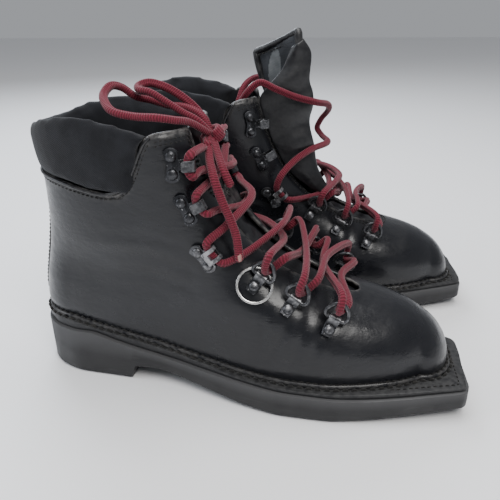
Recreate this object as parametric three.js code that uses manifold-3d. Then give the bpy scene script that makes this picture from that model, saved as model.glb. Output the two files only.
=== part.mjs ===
// A pair of lace-up leather touring ski boots with square three-pin toes, in millimetres, +Z up.
// Each boot is drawn in its own frame: x from the heel to the toe, y towards the inner (medial) side and
// z up from the floor, with the origin under the back of the heel. The left boot is the mirror of the right.
import * as THREE from "three";
import { mergeVertices } from "three/addons/utils/BufferGeometryUtils.js";
import Module from "manifold-3d";

const wasm = await Module();
wasm.setup();

// ---- Driving dimensions -------------------------------------------------------------------------
const GAP = 0.3; // between touching pieces
const BOOT_YAW = THREE.MathUtils.degToRad(5.2); // each boot turns its toe out by this
const LEFT_HEEL = new THREE.Vector2(26.4, 101.7); // left heel from the right heel
const LEATHER = 2.6; // upper leather with its lining
const COLLAR_OUT = 2.2; // padded collar, proud of the leather
const COLLAR_IN = 8; // padded collar, inside the leather
const COUNTER = 1.4; // heel and toe stiffeners
const INSOLE = 4;
const WELT_INSET = 2.6; // midsole edge inside the outsole edge
const BILL_CORNER = 8; // plan radius of the duckbill corners
const PIN_RADIUS = 2.4; // three binding pin holes under the duckbill
const PIN_DEPTH = 6.5;
const PIN_SPREAD = 20.5; // outer pins from the boot's centre line
const WIRE = 1.4; // D-ring wire radius
const STRIP = 1; // sheet metal of clips and hooks
const LACE_RADIUS = 2.7;
const KEY_RING = 11.6; // split ring, middle of its wire
const KEY_WIRE = 0.95;

// ---- Materials ----------------------------------------------------------------------------------
const finish = (color, roughness, metalness = 0) =>
  new THREE.MeshStandardMaterial({ color, roughness, metalness });
const LOOK = {
  leather: finish(0x16171c, 0.38),
  lining: finish(0x5a5d60, 0.9),
  collar: finish(0x22242b, 0.85),
  rubber: finish(0x1d1d1f, 0.6),
  welt: finish(0x17171a, 0.65),
  board: finish(0x8a6a48, 0.8),
  steel: finish(0x9aa0a6, 0.35, 1),
  hardware: finish(0x2b2d31, 0.35, 0.9),
  lace: finish(0x8c1c30, 0.8),
};

// ---- Curves that give the boot its shape -----------------------------------------------------------
// A smooth curve through a few [input, value] points that never overshoots them.
function through(points) {
  const steps = points.slice(1).map((p, i) => (p[1] - points[i][1]) / (p[0] - points[i][0]));
  const slopes = points.map((_, i) => {
    if (i === 0) return steps[0];
    if (i === steps.length) return steps[i - 1];
    const [a, b] = [steps[i - 1], steps[i]];
    return a * b <= 0 ? 0 : (2 * a * b) / (a + b);
  });
  return (x) => {
    const last = points.length - 1;
    const at = THREE.MathUtils.clamp(x, points[0][0], points[last][0]);
    let i = points.findIndex((p) => p[0] > at) - 1;
    if (i < 0) i = last - 1;
    const h = points[i + 1][0] - points[i][0];
    const t = (at - points[i][0]) / h;
    return (
      points[i][1] * (1 + 2 * t) * (1 - t) ** 2 + slopes[i] * h * t * (1 - t) ** 2 +
      points[i + 1][1] * t * t * (3 - 2 * t) + slopes[i + 1] * h * t * t * (t - 1)
    );
  };
}
const smooth = THREE.MathUtils.smoothstep;

// Side view of the upper: the back seam, the front (throat, vamp and toe) and the feather line.
const BACK = [[45.5, 5], [54, 2.6], [66, 4], [81, 7.2], [97, 11], [114, 14.5], [132, 16.7], [150, 17.5],
  [170, 17], [190, 15.5], [214, 13]];
const FRONT = [[24, 310], [36, 309], [44, 305.5], [51, 300], [57.5, 292], [64, 281], [69, 268], [72.5, 256],
  [75, 246], [77, 238], [79, 231], [81, 225], [83, 219], [85.5, 213], [88.5, 206.5], [92, 199.5],
  [96, 191.5], [102, 182.5], [110, 172.5], [121, 162], [136, 152], [153, 143], [172, 135.5], [190, 131],
  [214, 127]];
const backX = through(BACK);
const frontX = through(FRONT);
const topZ = through(FRONT.map(([z, x]) => [x, z]).reverse());
const featherZ = through([[5, 45.5], [28, 44.7], [58, 39.2], [92, 33], [128, 27.4], [164, 23.6], [200, 21.5],
  [230, 21.2], [256, 22], [277, 22.5], [292, 22.9], [301, 23.3],
  [310, 24]]);
// Plan view: half widths of the upper on each side, and the middle line, which leans inwards at the toe.
const lateralWidth = through([[33, 31], [45, 32.3], [70, 32.8], [100, 34], [130, 38], [160, 44.5],
  [185, 49.5],
  [205, 51.5], [222, 51.3], [240, 48.8], [260, 43.8], [278, 36.5], [290, 29]]);
const medialWidth = through([[33, 31], [60, 32.3], [90, 31], [120, 31], [150, 34.5], [180, 40.5], [205, 44.5],
  [225, 46], [240, 46], [258, 43], [275, 37], [290, 29]]);
const middleY = through([[0, 0], [120, 0], [220, 1.5], [310, 4]]);
const shaftWidth = through([[40, 34], [70, 36.5], [90, 38], [110, 39.5], [140, 41], [170, 43], [190, 44.5],
  [214, 45.5]]);
const HEEL_ROUND = 31;
const TOE_END = 310;
const TOE_ROUND_FROM = 290;

// Half width of the foot part at its widest, from the plan.
function planWidth(x, side) {
  const width = side < 0 ? lateralWidth : medialWidth;
  const heel = HEEL_ROUND + BACK[1][1];
  if (x < heel) {
    const t = (heel - x) / HEEL_ROUND;
    return HEEL_ROUND * Math.sqrt(Math.max(0, 1 - t * t));
  }
  if (x > TOE_ROUND_FROM) {
    const t = (x - TOE_ROUND_FROM) / (TOE_END - TOE_ROUND_FROM);
    return width(TOE_ROUND_FROM) * Math.max(0, 1 - t * t) ** 0.45;
  }
  return width(x);
}

// Half width of the upper at a place in the side view: a domed foot that becomes a boxy shaft.
function halfWidth(x, z, side) {
  const backEdge = backX(Math.max(z, BACK[0][0]));
  const shifted = x - (backEdge - BACK[1][1]) * (1 - smooth(x, 30, 110));
  const width = planWidth(shifted, side);
  const bottom = featherZ(x);
  const top = topZ(x);
  const rise = THREE.MathUtils.clamp((z - bottom) / Math.max(top - bottom, 1), 0, 1);
  const wallEnd = THREE.MathUtils.lerp(14 / Math.max(top - bottom, 50), 0.3 - 0.08 * smooth(x, 230, 300),
    smooth(x, 175, 225));
  const t = THREE.MathUtils.clamp((rise - wallEnd) / (1 - wallEnd), 0, 1);
  const sharp = 2.3 + 2.1 * (1 - smooth(x, 176, 232));
  const dome = Math.max(0, 1 - t ** sharp) ** (1 / 2.1);
  const low = 1 - 0.08 * Math.max(0, 1 - rise / wallEnd) ** 2;
  const wall = width * (rise < wallEnd ? low : 1) * (1 - 0.04 * smooth(z, 60, 110));
  const domed = width * (rise < wallEnd ? low : dome);
  const far = smooth(x, 125, 160);
  const foot = x < 131 ? wall * (1 - far) + domed * far : domed * far + wall * (1 - far) * dome;
  const front = frontX(z);
  const centre = (backEdge + front) / 2;
  const reach = (front - backEdge) / 2;
  const power = x > centre ? 4.2 : 2.35;
  const shaft = shaftWidth(z) * Math.max(0, 1 - Math.abs((x - centre) / reach) ** power) ** (1 / power);
  return THREE.MathUtils.lerp(foot, shaft, smooth(z, 72, 116));
}

// ---- Solids ---------------------------------------------------------------------------------------
const solid = (geometry) => {
  const bare = geometry.index ? geometry.toNonIndexed() : geometry.clone();
  bare.deleteAttribute("normal");
  bare.deleteAttribute("uv");
  const merged = mergeVertices(bare, 1e-4);
  return new wasm.Manifold(
    new wasm.Mesh({
      numProp: 3,
      vertProperties: merged.attributes.position.array,
      triVerts: new Uint32Array(merged.index.array),
    }),
  );
};
function geometryOf(manifold) {
  const made = manifold.getMesh();
  return new THREE.BufferGeometry()
    .setAttribute("position", new THREE.BufferAttribute(new Float32Array(made.vertProperties), 3))
    .setIndex(new THREE.BufferAttribute(new Uint32Array(made.triVerts), 1));
}
// A closed skin from rings of points: each ring is joined to the next, and the two ends are fanned shut.
function skin(rings) {
  const count = rings[0].length;
  const points = rings.flat();
  const faces = [];
  for (let i = 0; i + 1 < rings.length; i++) {
    for (let j = 0; j < count; j++) {
      const k = (j + 1) % count;
      const [a, b, c, d] = [i * count + j, i * count + k, (i + 1) * count + k, (i + 1) * count + j];
      faces.push(a, b, c, a, c, d);
    }
  }
  for (const [ring, flip] of [[0, true], [rings.length - 1, false]]) {
    const centre = new THREE.Vector3();
    rings[ring].forEach((p) => centre.addScaledVector(p, 1 / count));
    points.push(centre);
    for (let j = 0; j < count; j++) {
      const [a, b] = [ring * count + j, ring * count + ((j + 1) % count)];
      if (flip) faces.push(points.length - 1, b, a);
      else faces.push(points.length - 1, a, b);
    }
  }
  return new THREE.BufferGeometry().setFromPoints(points).setIndex(faces);
}
// A side-view outline pulled straight through the boot.
function sidePrism(outline, low = -90, high = 90) {
  const shape = new THREE.Shape(outline.map(([x, z]) => new THREE.Vector2(x, z)));
  const pulled = new THREE.ExtrudeGeometry(shape, { depth: high - low, bevelEnabled: false });
  return solid(pulled.rotateX(Math.PI / 2).translate(0, high, 0));
}
// A plan outline pulled straight up.
function planPrism(outline, low, high) {
  const shape = new THREE.Shape(outline);
  const pulled = new THREE.ExtrudeGeometry(shape, { depth: high - low, bevelEnabled: false });
  return solid(pulled.translate(0, 0, low));
}

// ---- The upper's surface ----------------------------------------------------------------------------
// Section planes fan from the shaft's top to the toe: each runs from a place on the back or the feather
// line to a place on the front, given by z there on the shaft and by x on the foot.
const FAN = [[13, 214, 127, 214], [16.5, 180, 133, 181], [17.5, 150, 143, 153], [16, 126, 154, 132],
  [12.5, 104, 167, 115.5], [7.2, 81, 182.5, 102], [4, 66, 191.5, 96], [2.6, 54, 199.5, 92],
  [5, 45.5, 206.5, 88.5], [28, 44.7, 213, 85.5], [58, 39.2, 219, 83], [92, 33, 225, 81],
  [128, 27.4, 231, 79], [164, 23.6, 238, 77], [200, 21.5, 246, 75], [230, 21.2, 256, 72.5],
  [256, 22, 268, 69], [277, 22.5, 281, 64], [292, 22.9, 292, 57.5], [301, 23.3, 300, 51],
  [306.5, 23.7, 305.5, 44], [309.3, 24, 309, 36]];
const AROUND = 18;
const TOE_TRIM = 1.6; // how far the hollow stops short of the last sections

function surfacePoint(plane, turn) {
  const [x0, z0, x1, z1] = plane;
  const along = (1 - Math.cos(turn)) / 2;
  const x = THREE.MathUtils.lerp(x0, x1, along);
  const z = THREE.MathUtils.lerp(z0, z1, along);
  const side = Math.sin(turn) < 0 ? -1 : 1;
  return new THREE.Vector3(x, middleY(x) + side * halfWidth(x, z, side), z);
}
function planeAt(place) {
  const i = Math.min(Math.floor(place), FAN.length - 2);
  return FAN[i].map((v, k) => THREE.MathUtils.lerp(v, FAN[i + 1][k], place - i));
}
// A closed solid whose side is the upper's surface moved outwards by offset (inwards when negative).
function body(offset, openBottom) {
  const rings = [];
  const last = FAN.length - 1 - (openBottom ? TOE_TRIM : 0);
  for (let i = 0; i < FAN.length; i++) {
    const place = Math.min(i, last);
    const ring = [];
    for (let j = 0; j < AROUND; j++) {
      const turn = -Math.PI + ((j + 0.5) * 2 * Math.PI) / AROUND;
      const here = surfacePoint(planeAt(place), turn);
      const du = surfacePoint(planeAt(Math.min(place + 0.3, last)), turn)
        .sub(surfacePoint(planeAt(Math.max(place - 0.3, 0)), turn));
      const dv = surfacePoint(planeAt(place), turn + 0.06).sub(surfacePoint(planeAt(place), turn - 0.06));
      const normal = du.cross(dv).normalize().negate();
      here.addScaledVector(normal, offset);
      const onFoot = smooth(place, 6.6, 9);
      if (openBottom && Math.abs(turn) < Math.PI / AROUND + 1e-6) here.z -= 8 * onFoot;
      ring.push(here);
    }
    if (i > 0 && Math.min(i - 1, last) === place) break;
    rings.push(ring);
  }
  return solid(skin(rings));
}
const upperSkin = (outer, inner) => body(outer, outer < 0).subtract(body(inner, true));

// Cut lines in the side view.
const SEAM = [[-20, 158], [17, 157], [45, 153.5], [72, 148.5], [82, 147.5], [90, 150], [97, 159], [103, 171],
  [107, 181], [112, 187]];
const COLLAR_TOP = [[112, 187.5], [107, 191], [98, 194.5], [88, 197.3], [64, 200], [40, 196.5], [17, 189],
  [-20, 185]];
const FACING_TOP = [[112, 187], [120, 189], [160, 190]];
// The throat between the two facings: [x, z, half width] from the vamp to the top.
const THROAT = [[240, 76.5, 5], [233, 78.5, 10], [219, 83, 13], [206, 88.5, 14.5], [192, 96, 15.5],
  [173, 110, 16],
  [162, 121, 16], [152, 136, 16.5], [143, 153, 17], [135.5, 172, 18], [131, 190, 19], [127, 214, 20]];

// A strip that follows the front of the boot, from deep inside it to well outside.
function throatStrip(widen, from = 0, to = THROAT.length - 1, inside = 13, outside = 16) {
  const rings = [];
  for (let i = from; i <= to; i++) {
    const [x, z, half] = THROAT[i];
    const [before, after] = [THROAT[Math.max(i - 1, 0)], THROAT[Math.min(i + 1, THROAT.length - 1)]];
    const out = new THREE.Vector3(after[1] - before[1], 0, before[0] - after[0]).normalize();
    const centre = new THREE.Vector3(x, middleY(x), z);
    const across = half + widen;
    rings.push([[-across, outside], [across, outside], [across, -inside], [-across, -inside]].map(([y, n]) =>
      centre.clone().addScaledVector(out, n).add(new THREE.Vector3(0, y, 0))));
  }
  return solid(skin(rings));
}

// ---- Sole pieces ------------------------------------------------------------------------------------
const RIM = [[0, 36.5], [48, 36.5], [70, 31], [93, 26], [121, 22], [167, 20], [205, 18.2], [239, 17.8],
  [270, 18.6],
  [296, 19.6], [330, 21]];
const rimZ = through(RIM);
const WELT_FLAT_FROM = 300; // the duckbill's top is level
function weltTop(x) {
  const at = Math.min(x, WELT_FLAT_FROM);
  return Math.max(featherZ(at) - GAP, rimZ(at) + 3);
}
const TREAD = [[-5, 0], [79.5, 0], [84, 10.5], [99, 11.5], [120, 8.4], [151, 4.2], [181, 1], [196, 0],
  [226, 0],
  [250, 1.4], [284, 4.6], [316, 7], [330, 8]];

// The sole's plan, with its square duckbill; inset pulls the whole edge in.
function soleOutline(inset = 0) {
  const plan = new THREE.Shape();
  const front = 322.5;
  const v = (x, y) => new THREE.Vector2(x, y);
  plan.moveTo(0, 0);
  plan.splineThru([v(2.5, -12), v(10, -23.5), v(22, -32), v(40, -36.8), v(80, -37.5), v(110, -39),
    v(140, -45.5), v(170, -53), v(200, -57), v(226, -56.5), v(250, -53), v(275, -47), v(300, -39.5),
    v(front - BILL_CORNER, -35)]);
  plan.quadraticCurveTo(front + 0.5, -33, front + 0.5, -25);
  plan.lineTo(front - 3, 33 - BILL_CORNER);
  plan.quadraticCurveTo(front - 3.5, 33.5, front - 4 - BILL_CORNER, 36);
  plan.splineThru([v(290, 41.5), v(262, 47.5), v(236, 50), v(205, 47), v(170, 40.5), v(140, 35.5),
    v(110, 33.5),
    v(75, 35), v(40, 36.2), v(22, 32), v(10, 23.5), v(2.5, 12), v(0, 0)]);
  const edge = plan.getPoints(3);
  edge.pop();
  return edge.map((p, i) => {
    const [a, b] = [edge[(i + edge.length - 1) % edge.length], edge[(i + 1) % edge.length]];
    const along = v(b.x - a.x, b.y - a.y).normalize();
    return v(p.x - along.y * inset, p.y + along.x * inset);
  });
}
const profile = (height, from, to, steps) =>
  Array.from({ length: steps + 1 }, (_, i) => {
    const x = THREE.MathUtils.lerp(from, to, i / steps);
    return [x, height(x)];
  });

function outsole() {
  const side = sidePrism([...TREAD, ...profile((x) => rimZ(x), -5, 330, 14).reverse()]);
  let sole = planPrism(soleOutline(), -2, 60).intersect(side);
  for (const [x, y] of [[305, 3 - PIN_SPREAD], [311, 3], [305, 3 + PIN_SPREAD]]) {
    const pin = new THREE.CylinderGeometry(PIN_RADIUS, PIN_RADIUS, 2 * PIN_DEPTH, 10).rotateX(Math.PI / 2);
    sole = sole.subtract(solid(pin.translate(x, y, 6)));
  }
  return sole;
}
const SHANK = { from: 70, to: 190, half: 9, thick: 1.6 };
const shankPlan = (grow) => [[SHANK.from - grow, -1], [SHANK.to + grow, -1], [SHANK.to + grow, 1],
  [SHANK.from - grow, 1]].map(([x, s]) => new THREE.Vector2(x, s * (SHANK.half + grow)));
function midsole() {
  const low = profile((x) => rimZ(x) + GAP, -5, 330, 14);
  const high = profile(weltTop, -5, 330, 16).reverse();
  const floor = profile((x) => weltTop(x) - SHANK.thick - GAP, 60, 200, 8);
  const pocket = planPrism(shankPlan(GAP), 0, 60).intersect(sidePrism([...floor, [200, 60], [60, 60]]));
  return planPrism(soleOutline(WELT_INSET), 0, 70).intersect(sidePrism([...low, ...high])).subtract(pocket);
}
function shank() {
  const low = profile((x) => weltTop(x) - SHANK.thick, 60, 200, 8);
  const high = profile((x) => weltTop(x) - 0.05, 60, 200, 8).reverse();
  return planPrism(shankPlan(0), 0, 60).intersect(sidePrism([...low, ...high]));
}
function insole() {
  const inset = 7.6;
  const side = (s) => Array.from({ length: 12 }, (_, i) => {
    const x = 11 + (i / 11) ** 1.1 * 289;
    return new THREE.Vector2(x, middleY(x) + s * Math.max(4, 0.93 * planWidth(x, s) - inset));
  });
  const low = profile((x) => featherZ(x) + 0.4, 0, 312, 12);
  const high = profile((x) => featherZ(x) + 0.4 + INSOLE, 0, 312, 12).reverse();
  return planPrism([...side(-1), ...side(1).reverse()], 0, 80).intersect(sidePrism([...low, ...high]));
}

// ---- Upper pieces ------------------------------------------------------------------------------------
function upper(throatWiden) {
  const above = sidePrism([...SEAM, ...FACING_TOP.slice(1), [160, 240], [-20, 240]]);
  return upperSkin(0, -LEATHER).subtract(above).subtract(throatStrip(throatWiden));
}
function collar() {
  const lifted = SEAM.map(([x, z]) => [x - 0.4, z + 0.5]);
  const region = sidePrism([...lifted, ...COLLAR_TOP]);
  return upperSkin(COLLAR_OUT, -COLLAR_IN).intersect(region);
}
function heelCounter() {
  const region = sidePrism([[-10, 52], [60, 50.5], [74, 56], [72, 74], [48, 92], [-10, 100]]);
  return upperSkin(-LEATHER - GAP, -LEATHER - GAP - COUNTER).intersect(region);
}
function toePuff() {
  const region = sidePrism([[262, 33], [299, 34], [299, 90], [270, 90]]);
  return upperSkin(-LEATHER - GAP, -LEATHER - GAP - COUNTER).intersect(region);
}
function closedTongue() {
  const strip = throatStrip(10, 1, THROAT.length - 2, 15, 10);
  return upperSkin(-LEATHER - 0.6, -LEATHER - 6).intersect(strip);
}
function backstay() {
  const strip = sidePrism([[-10, 58], [40, 58], [40, 154], [-10, 154]], -9, 9);
  const front = sidePrism([[-20, 0], [30, 0], [30, 200], [-20, 200]]);
  return body(GAP + 1.5, false).subtract(body(GAP, false)).intersect(strip).intersect(front);
}
// The left tongue, pulled up out of the open throat and turned so that its inner edge leads:
// [x, y, z, half width, turn in degrees, sweep of its edges to the back].
const RAISED_TONGUE = [[224, 1, 70, 9, 0, 1], [211, 1, 78, 9.5, 0, 1], [198, 1, 90, 11, 0, 2],
  [184, 0, 108, 12, 5, 3], [178, -4, 128, 16, 12, 5], [171, -8, 150, 20, 22, 6], [163, -3, 175, 20, 30, 5],
  [155, -3, 200, 22, 41, 4], [152, -4, 220, 24, 46, 4], [150, -4, 231, 24, 46, 3]];
const TONGUE_THICK = 6;
const TONGUE_PEAK = 9; // its top edge climbs this much towards the inner corner
function raisedTongue() {
  const last = RAISED_TONGUE.length - 1;
  const rings = RAISED_TONGUE.map(([x, y, z, half, turn, sweep], i) => {
    const before = RAISED_TONGUE[Math.max(i - 1, 0)];
    const after = RAISED_TONGUE[Math.min(i + 1, last)];
    const yaw = new THREE.Matrix4().makeRotationZ(THREE.MathUtils.degToRad(-turn));
    const out = new THREE.Vector3(after[2] - before[2], 0, before[0] - after[0]);
    out.normalize().applyMatrix4(yaw);
    const thick = i < 2 ? 3 : TONGUE_THICK;
    const across = [-1, -0.75, -0.4, 0, 0.4, 0.75, 1];
    const face = (depth) => across.map((s) => {
      const point = new THREE.Vector3(-sweep * s * s, s * half, 0).applyMatrix4(yaw);
      point.add(new THREE.Vector3(x, y, z + TONGUE_PEAK * s * (i / last) ** 4));
      return point.addScaledVector(out, depth);
    });
    return [...face(-thick).reverse(), ...face(0)];
  });
  return solid(skin(rings));
}

// ---- Metal pieces -------------------------------------------------------------------------------------
// A frame standing on the upper's surface: X runs towards the throat, Z out of the surface.
function surfaceFrame(x, z, side, towards) {
  const step = 1.5;
  const place = (px, pz) => new THREE.Vector3(px, middleY(px) + side * halfWidth(px, pz, side), pz);
  const here = place(x, z);
  const out = place(x + step, z).sub(place(x - step, z)).cross(place(x, z + step).sub(place(x, z - step)));
  out.normalize().multiplyScalar(out.y * side < 0 ? -1 : 1);
  const ahead = new THREE.Vector3(towards[0], 0, towards[1]);
  ahead.addScaledVector(out, -ahead.dot(out)).normalize();
  const across = out.clone().cross(ahead);
  here.addScaledVector(out, HARDWARE_LIFT);
  const tilt = new THREE.Matrix4().makeRotationY(-HARDWARE_TILT);
  return new THREE.Matrix4().makeBasis(ahead, across, out).setPosition(here).multiply(tilt);
}
const RING_PLACES = [[176, 90, [0.53, 0.85]], [199, 77, [0.5, 0.87]], [226, 64.5, [0.42, 0.9]]];
const HOOK_PLACES = [[124, 170, [0.99, 0.05]], [131.5, 141, [0.9, 0.43]], [142, 108, [0.8, 0.6]]];
const RING_BAR = { ahead: 8, up: WIRE + STRIP + 2 * GAP }; // the D-ring's straight bar, in its rivet's frame
const HARDWARE_LIFT = 1.7; // off the leather at the rivet
const HARDWARE_TILT = THREE.MathUtils.degToRad(6); // towards the throat, where the leather curves up
const RING_TILT = THREE.MathUtils.degToRad(32); // how far the D-ring stands off the leather

// A strip folded round the D-ring's bar and held down by one domed rivet.
function ringClip() {
  const bore = WIRE + GAP;
  const outer = bore + STRIP;
  const { ahead, up } = RING_BAR;
  const outline = new THREE.Shape();
  outline.moveTo(-5, GAP);
  outline.lineTo(ahead, GAP);
  outline.absarc(ahead, up, outer, -Math.PI / 2, Math.PI * 0.72, false);
  outline.lineTo(3.5, GAP + 2 * STRIP);
  outline.lineTo(-5, GAP + 2 * STRIP);
  const hole = new THREE.Path();
  hole.absarc(ahead, up, bore, 0, Math.PI * 2, true);
  outline.holes.push(hole);
  const strip = new THREE.ExtrudeGeometry(outline, { depth: 8, bevelEnabled: false, curveSegments: 3 });
  const folded = solid(strip.rotateX(Math.PI / 2).translate(0, 4, 0));
  return folded.add(rivetHead(0, 0, GAP + 2 * STRIP - 0.2));
}
function rivetHead(x, y, base) {
  const dome = [[0, 0], [3.6, 0], [2.9, 1.4], [0, 2.1]].map(([r, h]) => new THREE.Vector2(r, h));
  return solid(new THREE.LatheGeometry(dome, 7).rotateX(Math.PI / 2).translate(x, y, base));
}
// The D of wire: a straight bar in the clip and a round bow towards the throat.
function dRing() {
  const half = 6.6;
  const corners = [[0, -half], [0, 0], [0, half], [3, half + 1.2], [7, half - 0.2], [10.4, half - 3.6],
    [11.6, 0], [10.4, 3.6 - half], [7, 0.2 - half], [3, -1.2 - half]];
  const sides = 6;
  const points = [];
  const faces = [];
  corners.forEach(([x, y], i) => {
    const [px, py] = corners[(i + corners.length - 1) % corners.length];
    const [nx, ny] = corners[(i + 1) % corners.length];
    const side = new THREE.Vector2(ny - py, px - nx).normalize();
    for (let j = 0; j < sides; j++) {
      const turn = (j * 2 * Math.PI) / sides;
      const reach = WIRE * Math.cos(turn);
      points.push(new THREE.Vector3(x + side.x * reach, y + side.y * reach, WIRE * Math.sin(turn)));
      const k = (j + 1) % sides;
      const [a, b] = [i * sides, ((i + 1) % corners.length) * sides];
      faces.push(a + j, b + j, b + k, a + j, b + k, a + k);
    }
  });
  const ring = new THREE.BufferGeometry().setFromPoints(points).setIndex(faces);
  return ring.rotateY(-RING_TILT).translate(RING_BAR.ahead, 0, RING_BAR.up);
}
// A speed hook: a two-lobed plate with a rivet in each lobe, and a strip that rises and turns back.
function laceHook(width) {
  const lobe = 5.4;
  const spread = 5.6;
  const plate = new THREE.Shape();
  const waist = Math.PI * 0.16;
  plate.absarc(0, -spread, lobe, -Math.PI + waist, -waist, false);
  plate.lineTo(4, -2);
  plate.lineTo(4, 2);
  plate.absarc(0, spread, lobe, waist, Math.PI - waist, false);
  plate.lineTo(-3.4, 0);
  const base = solid(new THREE.ExtrudeGeometry(plate, { depth: STRIP, bevelEnabled: false, curveSegments: 3 })
    .translate(0, 0, GAP));
  const inner = 3.3;
  const turnX = 10.5;
  const middle = GAP + STRIP + inner;
  const strip = new THREE.Shape();
  strip.moveTo(0, GAP);
  strip.absarc(turnX, middle, inner + STRIP, -Math.PI / 2, Math.PI / 2, false);
  strip.lineTo(5.5, middle + inner + STRIP + 0.6);
  strip.lineTo(5.3, middle + inner + 0.6);
  strip.absarc(turnX, middle, inner, Math.PI / 2, -Math.PI / 2, true);
  strip.lineTo(0, GAP + STRIP);
  const hook = solid(new THREE.ExtrudeGeometry(strip, { depth: width, bevelEnabled: false, curveSegments: 3 })
    .rotateX(Math.PI / 2).translate(0, width / 2, 0));
  const top = GAP + STRIP - 0.2;
  return base.add(hook).add(rivetHead(0, spread, top)).add(rivetHead(0, -spread, top));
}
// The split ring that hangs round the outer side's top D-ring clip.
function keyRing() {
  return new THREE.TorusGeometry(KEY_RING, KEY_WIRE, 6, 24);
}

// ---- Laces ---------------------------------------------------------------------------------------------
// A path that turns at its own points, so a cord swept along it has one section at each of them.
class Route extends THREE.Curve {
  constructor(points) {
    super();
    this.points = points.map((p) => new THREE.Vector3(...p));
  }
  getPoint(t) {
    const at = THREE.MathUtils.clamp(t, 0, 1) * (this.points.length - 1);
    const i = Math.min(Math.floor(at), this.points.length - 2);
    return this.points[i].clone().lerp(this.points[i + 1], at - i);
  }
  getPointAt(u) {
    return this.getPoint(u);
  }
  getTangentAt(u) {
    return this.getTangent(u);
  }
}
function cord(points) {
  const section = new THREE.Shape(Array.from({ length: 8 }, (_, i) =>
    new THREE.Vector2(LACE_RADIUS * Math.cos((i * Math.PI) / 4), LACE_RADIUS * Math.sin((i * Math.PI) / 4))));
  return new THREE.ExtrudeGeometry(section, { steps: points.length - 1, extrudePath: new Route(points) });
}
// Right lace from the knot down to the lowest D-rings and back up: each strand crosses to the other side.
const RIGHT_LACING = [
  [140, -21, 178], [137.5, -40, 177.5], [136, -40, 175], [136, -40.5, 166.5], [138.5, -41, 164],
  [140.5, -30.5, 165], [153, 0, 161], [143.5, 32, 156], [141, 43, 153], [140, 42.5, 149.5], [144, 42, 142],
  [146.5, 42.5, 140.5], [151.5, 32, 140], [166.5, 0.5, 139.5], [156.5, -32.5, 129.5], [147, -45.5, 122],
  [147, -45, 118.5], [154, -44.5, 109.5], [157, -45, 108.5], [168.5, -35, 111.5], [188.5, -1.5, 121],
  [186, 48, 114], [183.5, 46, 106.5], [184, 39, 102], [188.5, 35, 105], [194.5, 35.5, 110.5],
  [205, 1, 106], [209.5, -41.5, 102], [207.5, -45, 96], [207, -40.5, 89.5], [211.5, -35, 90.5],
  [217, -33, 96], [220.5, 1.5, 98.5], [234, 42.5, 90.5], [233, 45, 84], [232.5, 40, 78], [239, 33, 81],
  [231, 1.5, 84], [238, -32, 80.5], [232.5, -39.5, 78], [233.5, -44.5, 84], [234, -41.5, 90.5],
  [217.5, 1.5, 93], [217.5, 33, 97], [211.5, 34, 91.5], [206.5, 38.5, 90], [206.5, 44, 96],
  [208.5, 41.5, 102], [202.5, 1, 100.5], [195, -33, 109.5], [189, -34, 104], [184, -39, 102.5],
  [184.5, -44.5, 108.5], [187, -44.5, 116], [189, 2, 109.5], [170.5, 34, 108.5], [157, 45, 107.5],
  [154, 44.5, 108.5], [147, 46, 117.5], [147, 47, 120.5], [156.5, 33, 129.5], [160.5, 0.5, 133],
  [150.5, -31, 139.5], [146.5, -42, 140.5], [144, -42, 142], [140, -42.5, 149.5], [141, -43, 153],
  [143.5, -31.5, 155.5], [146, 0, 158], [140.5, 31, 165], [138.5, 41, 164], [136, 40.5, 166.5],
  [136, 40, 175], [137.5, 40, 177.5], [140, 11, 178],
];
// Left lace, slack: from inside the collar, round the raised tongue, down to the D-rings and back up.
const LEFT_LACING = [
  [112, 20, 172], [117, 27, 186], [125, 31, 197], [133, 31, 202], [145, 31, 197], [162, 28, 190],
  [179, 23, 185], [190, 10, 181], [192, -2, 174], [187, -10, 165], [184, -14, 156], [188, -8, 150.5],
  [192, 6, 148], [176, 24, 145.5], [161, 37, 138.5], [150, 47, 128.5], [147, 47, 120.5], [147, 46, 117.5],
  [154, 44.5, 108.5], [157, 45, 107.5], [173, 32, 105], [188, 19, 105], [195, 3, 107], [196, -15, 110.5],
  [187, -44.5, 116], [184.5, -44.5, 108.5], [184, -39, 102.5], [189, -34, 104], [195, -33, 109.5],
  [208, 1, 107], [208.5, 41.5, 102], [206.5, 44, 96], [206.5, 38.5, 90], [211.5, 34, 91.5],
  [217.5, 33, 97], [220.5, 1.5, 99.5], [234, -41.5, 90.5], [233.5, -44.5, 84], [232.5, -39.5, 78],
  [238, -32, 80.5], [231, 1.5, 84], [239, 33, 81], [232.5, 40, 78], [233, 45, 84], [234, 42.5, 90.5],
  [218, 1.5, 93.5], [217, -33, 96], [211.5, -35, 90.5], [207, -40.5, 89.5], [207.5, -45, 96],
  [209.5, -41.5, 102], [205, 1, 100.5], [194.5, 35.5, 110.5], [188.5, 35, 105], [184, 39, 102],
  [183.5, 46, 106.5], [186, 48, 114], [200, 22, 118], [204, 2, 117.5], [196, -18, 119], [181, -37, 117],
  [168, -45, 110.5], [157, -45, 108.5], [154, -44.5, 109.5], [147, -45, 118.5], [147, -45.5, 122],
  [150, -50, 140], [155, -50, 158], [154, -46, 176], [144, -44, 191], [130, -38, 198], [118, -30, 192],
  [112, -24, 178],
];
const KNOT = { x: 141, y: -5, z: 182, reach: [8, 12, 8] };
const knotPoint = [KNOT.x, KNOT.y, KNOT.z];
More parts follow.
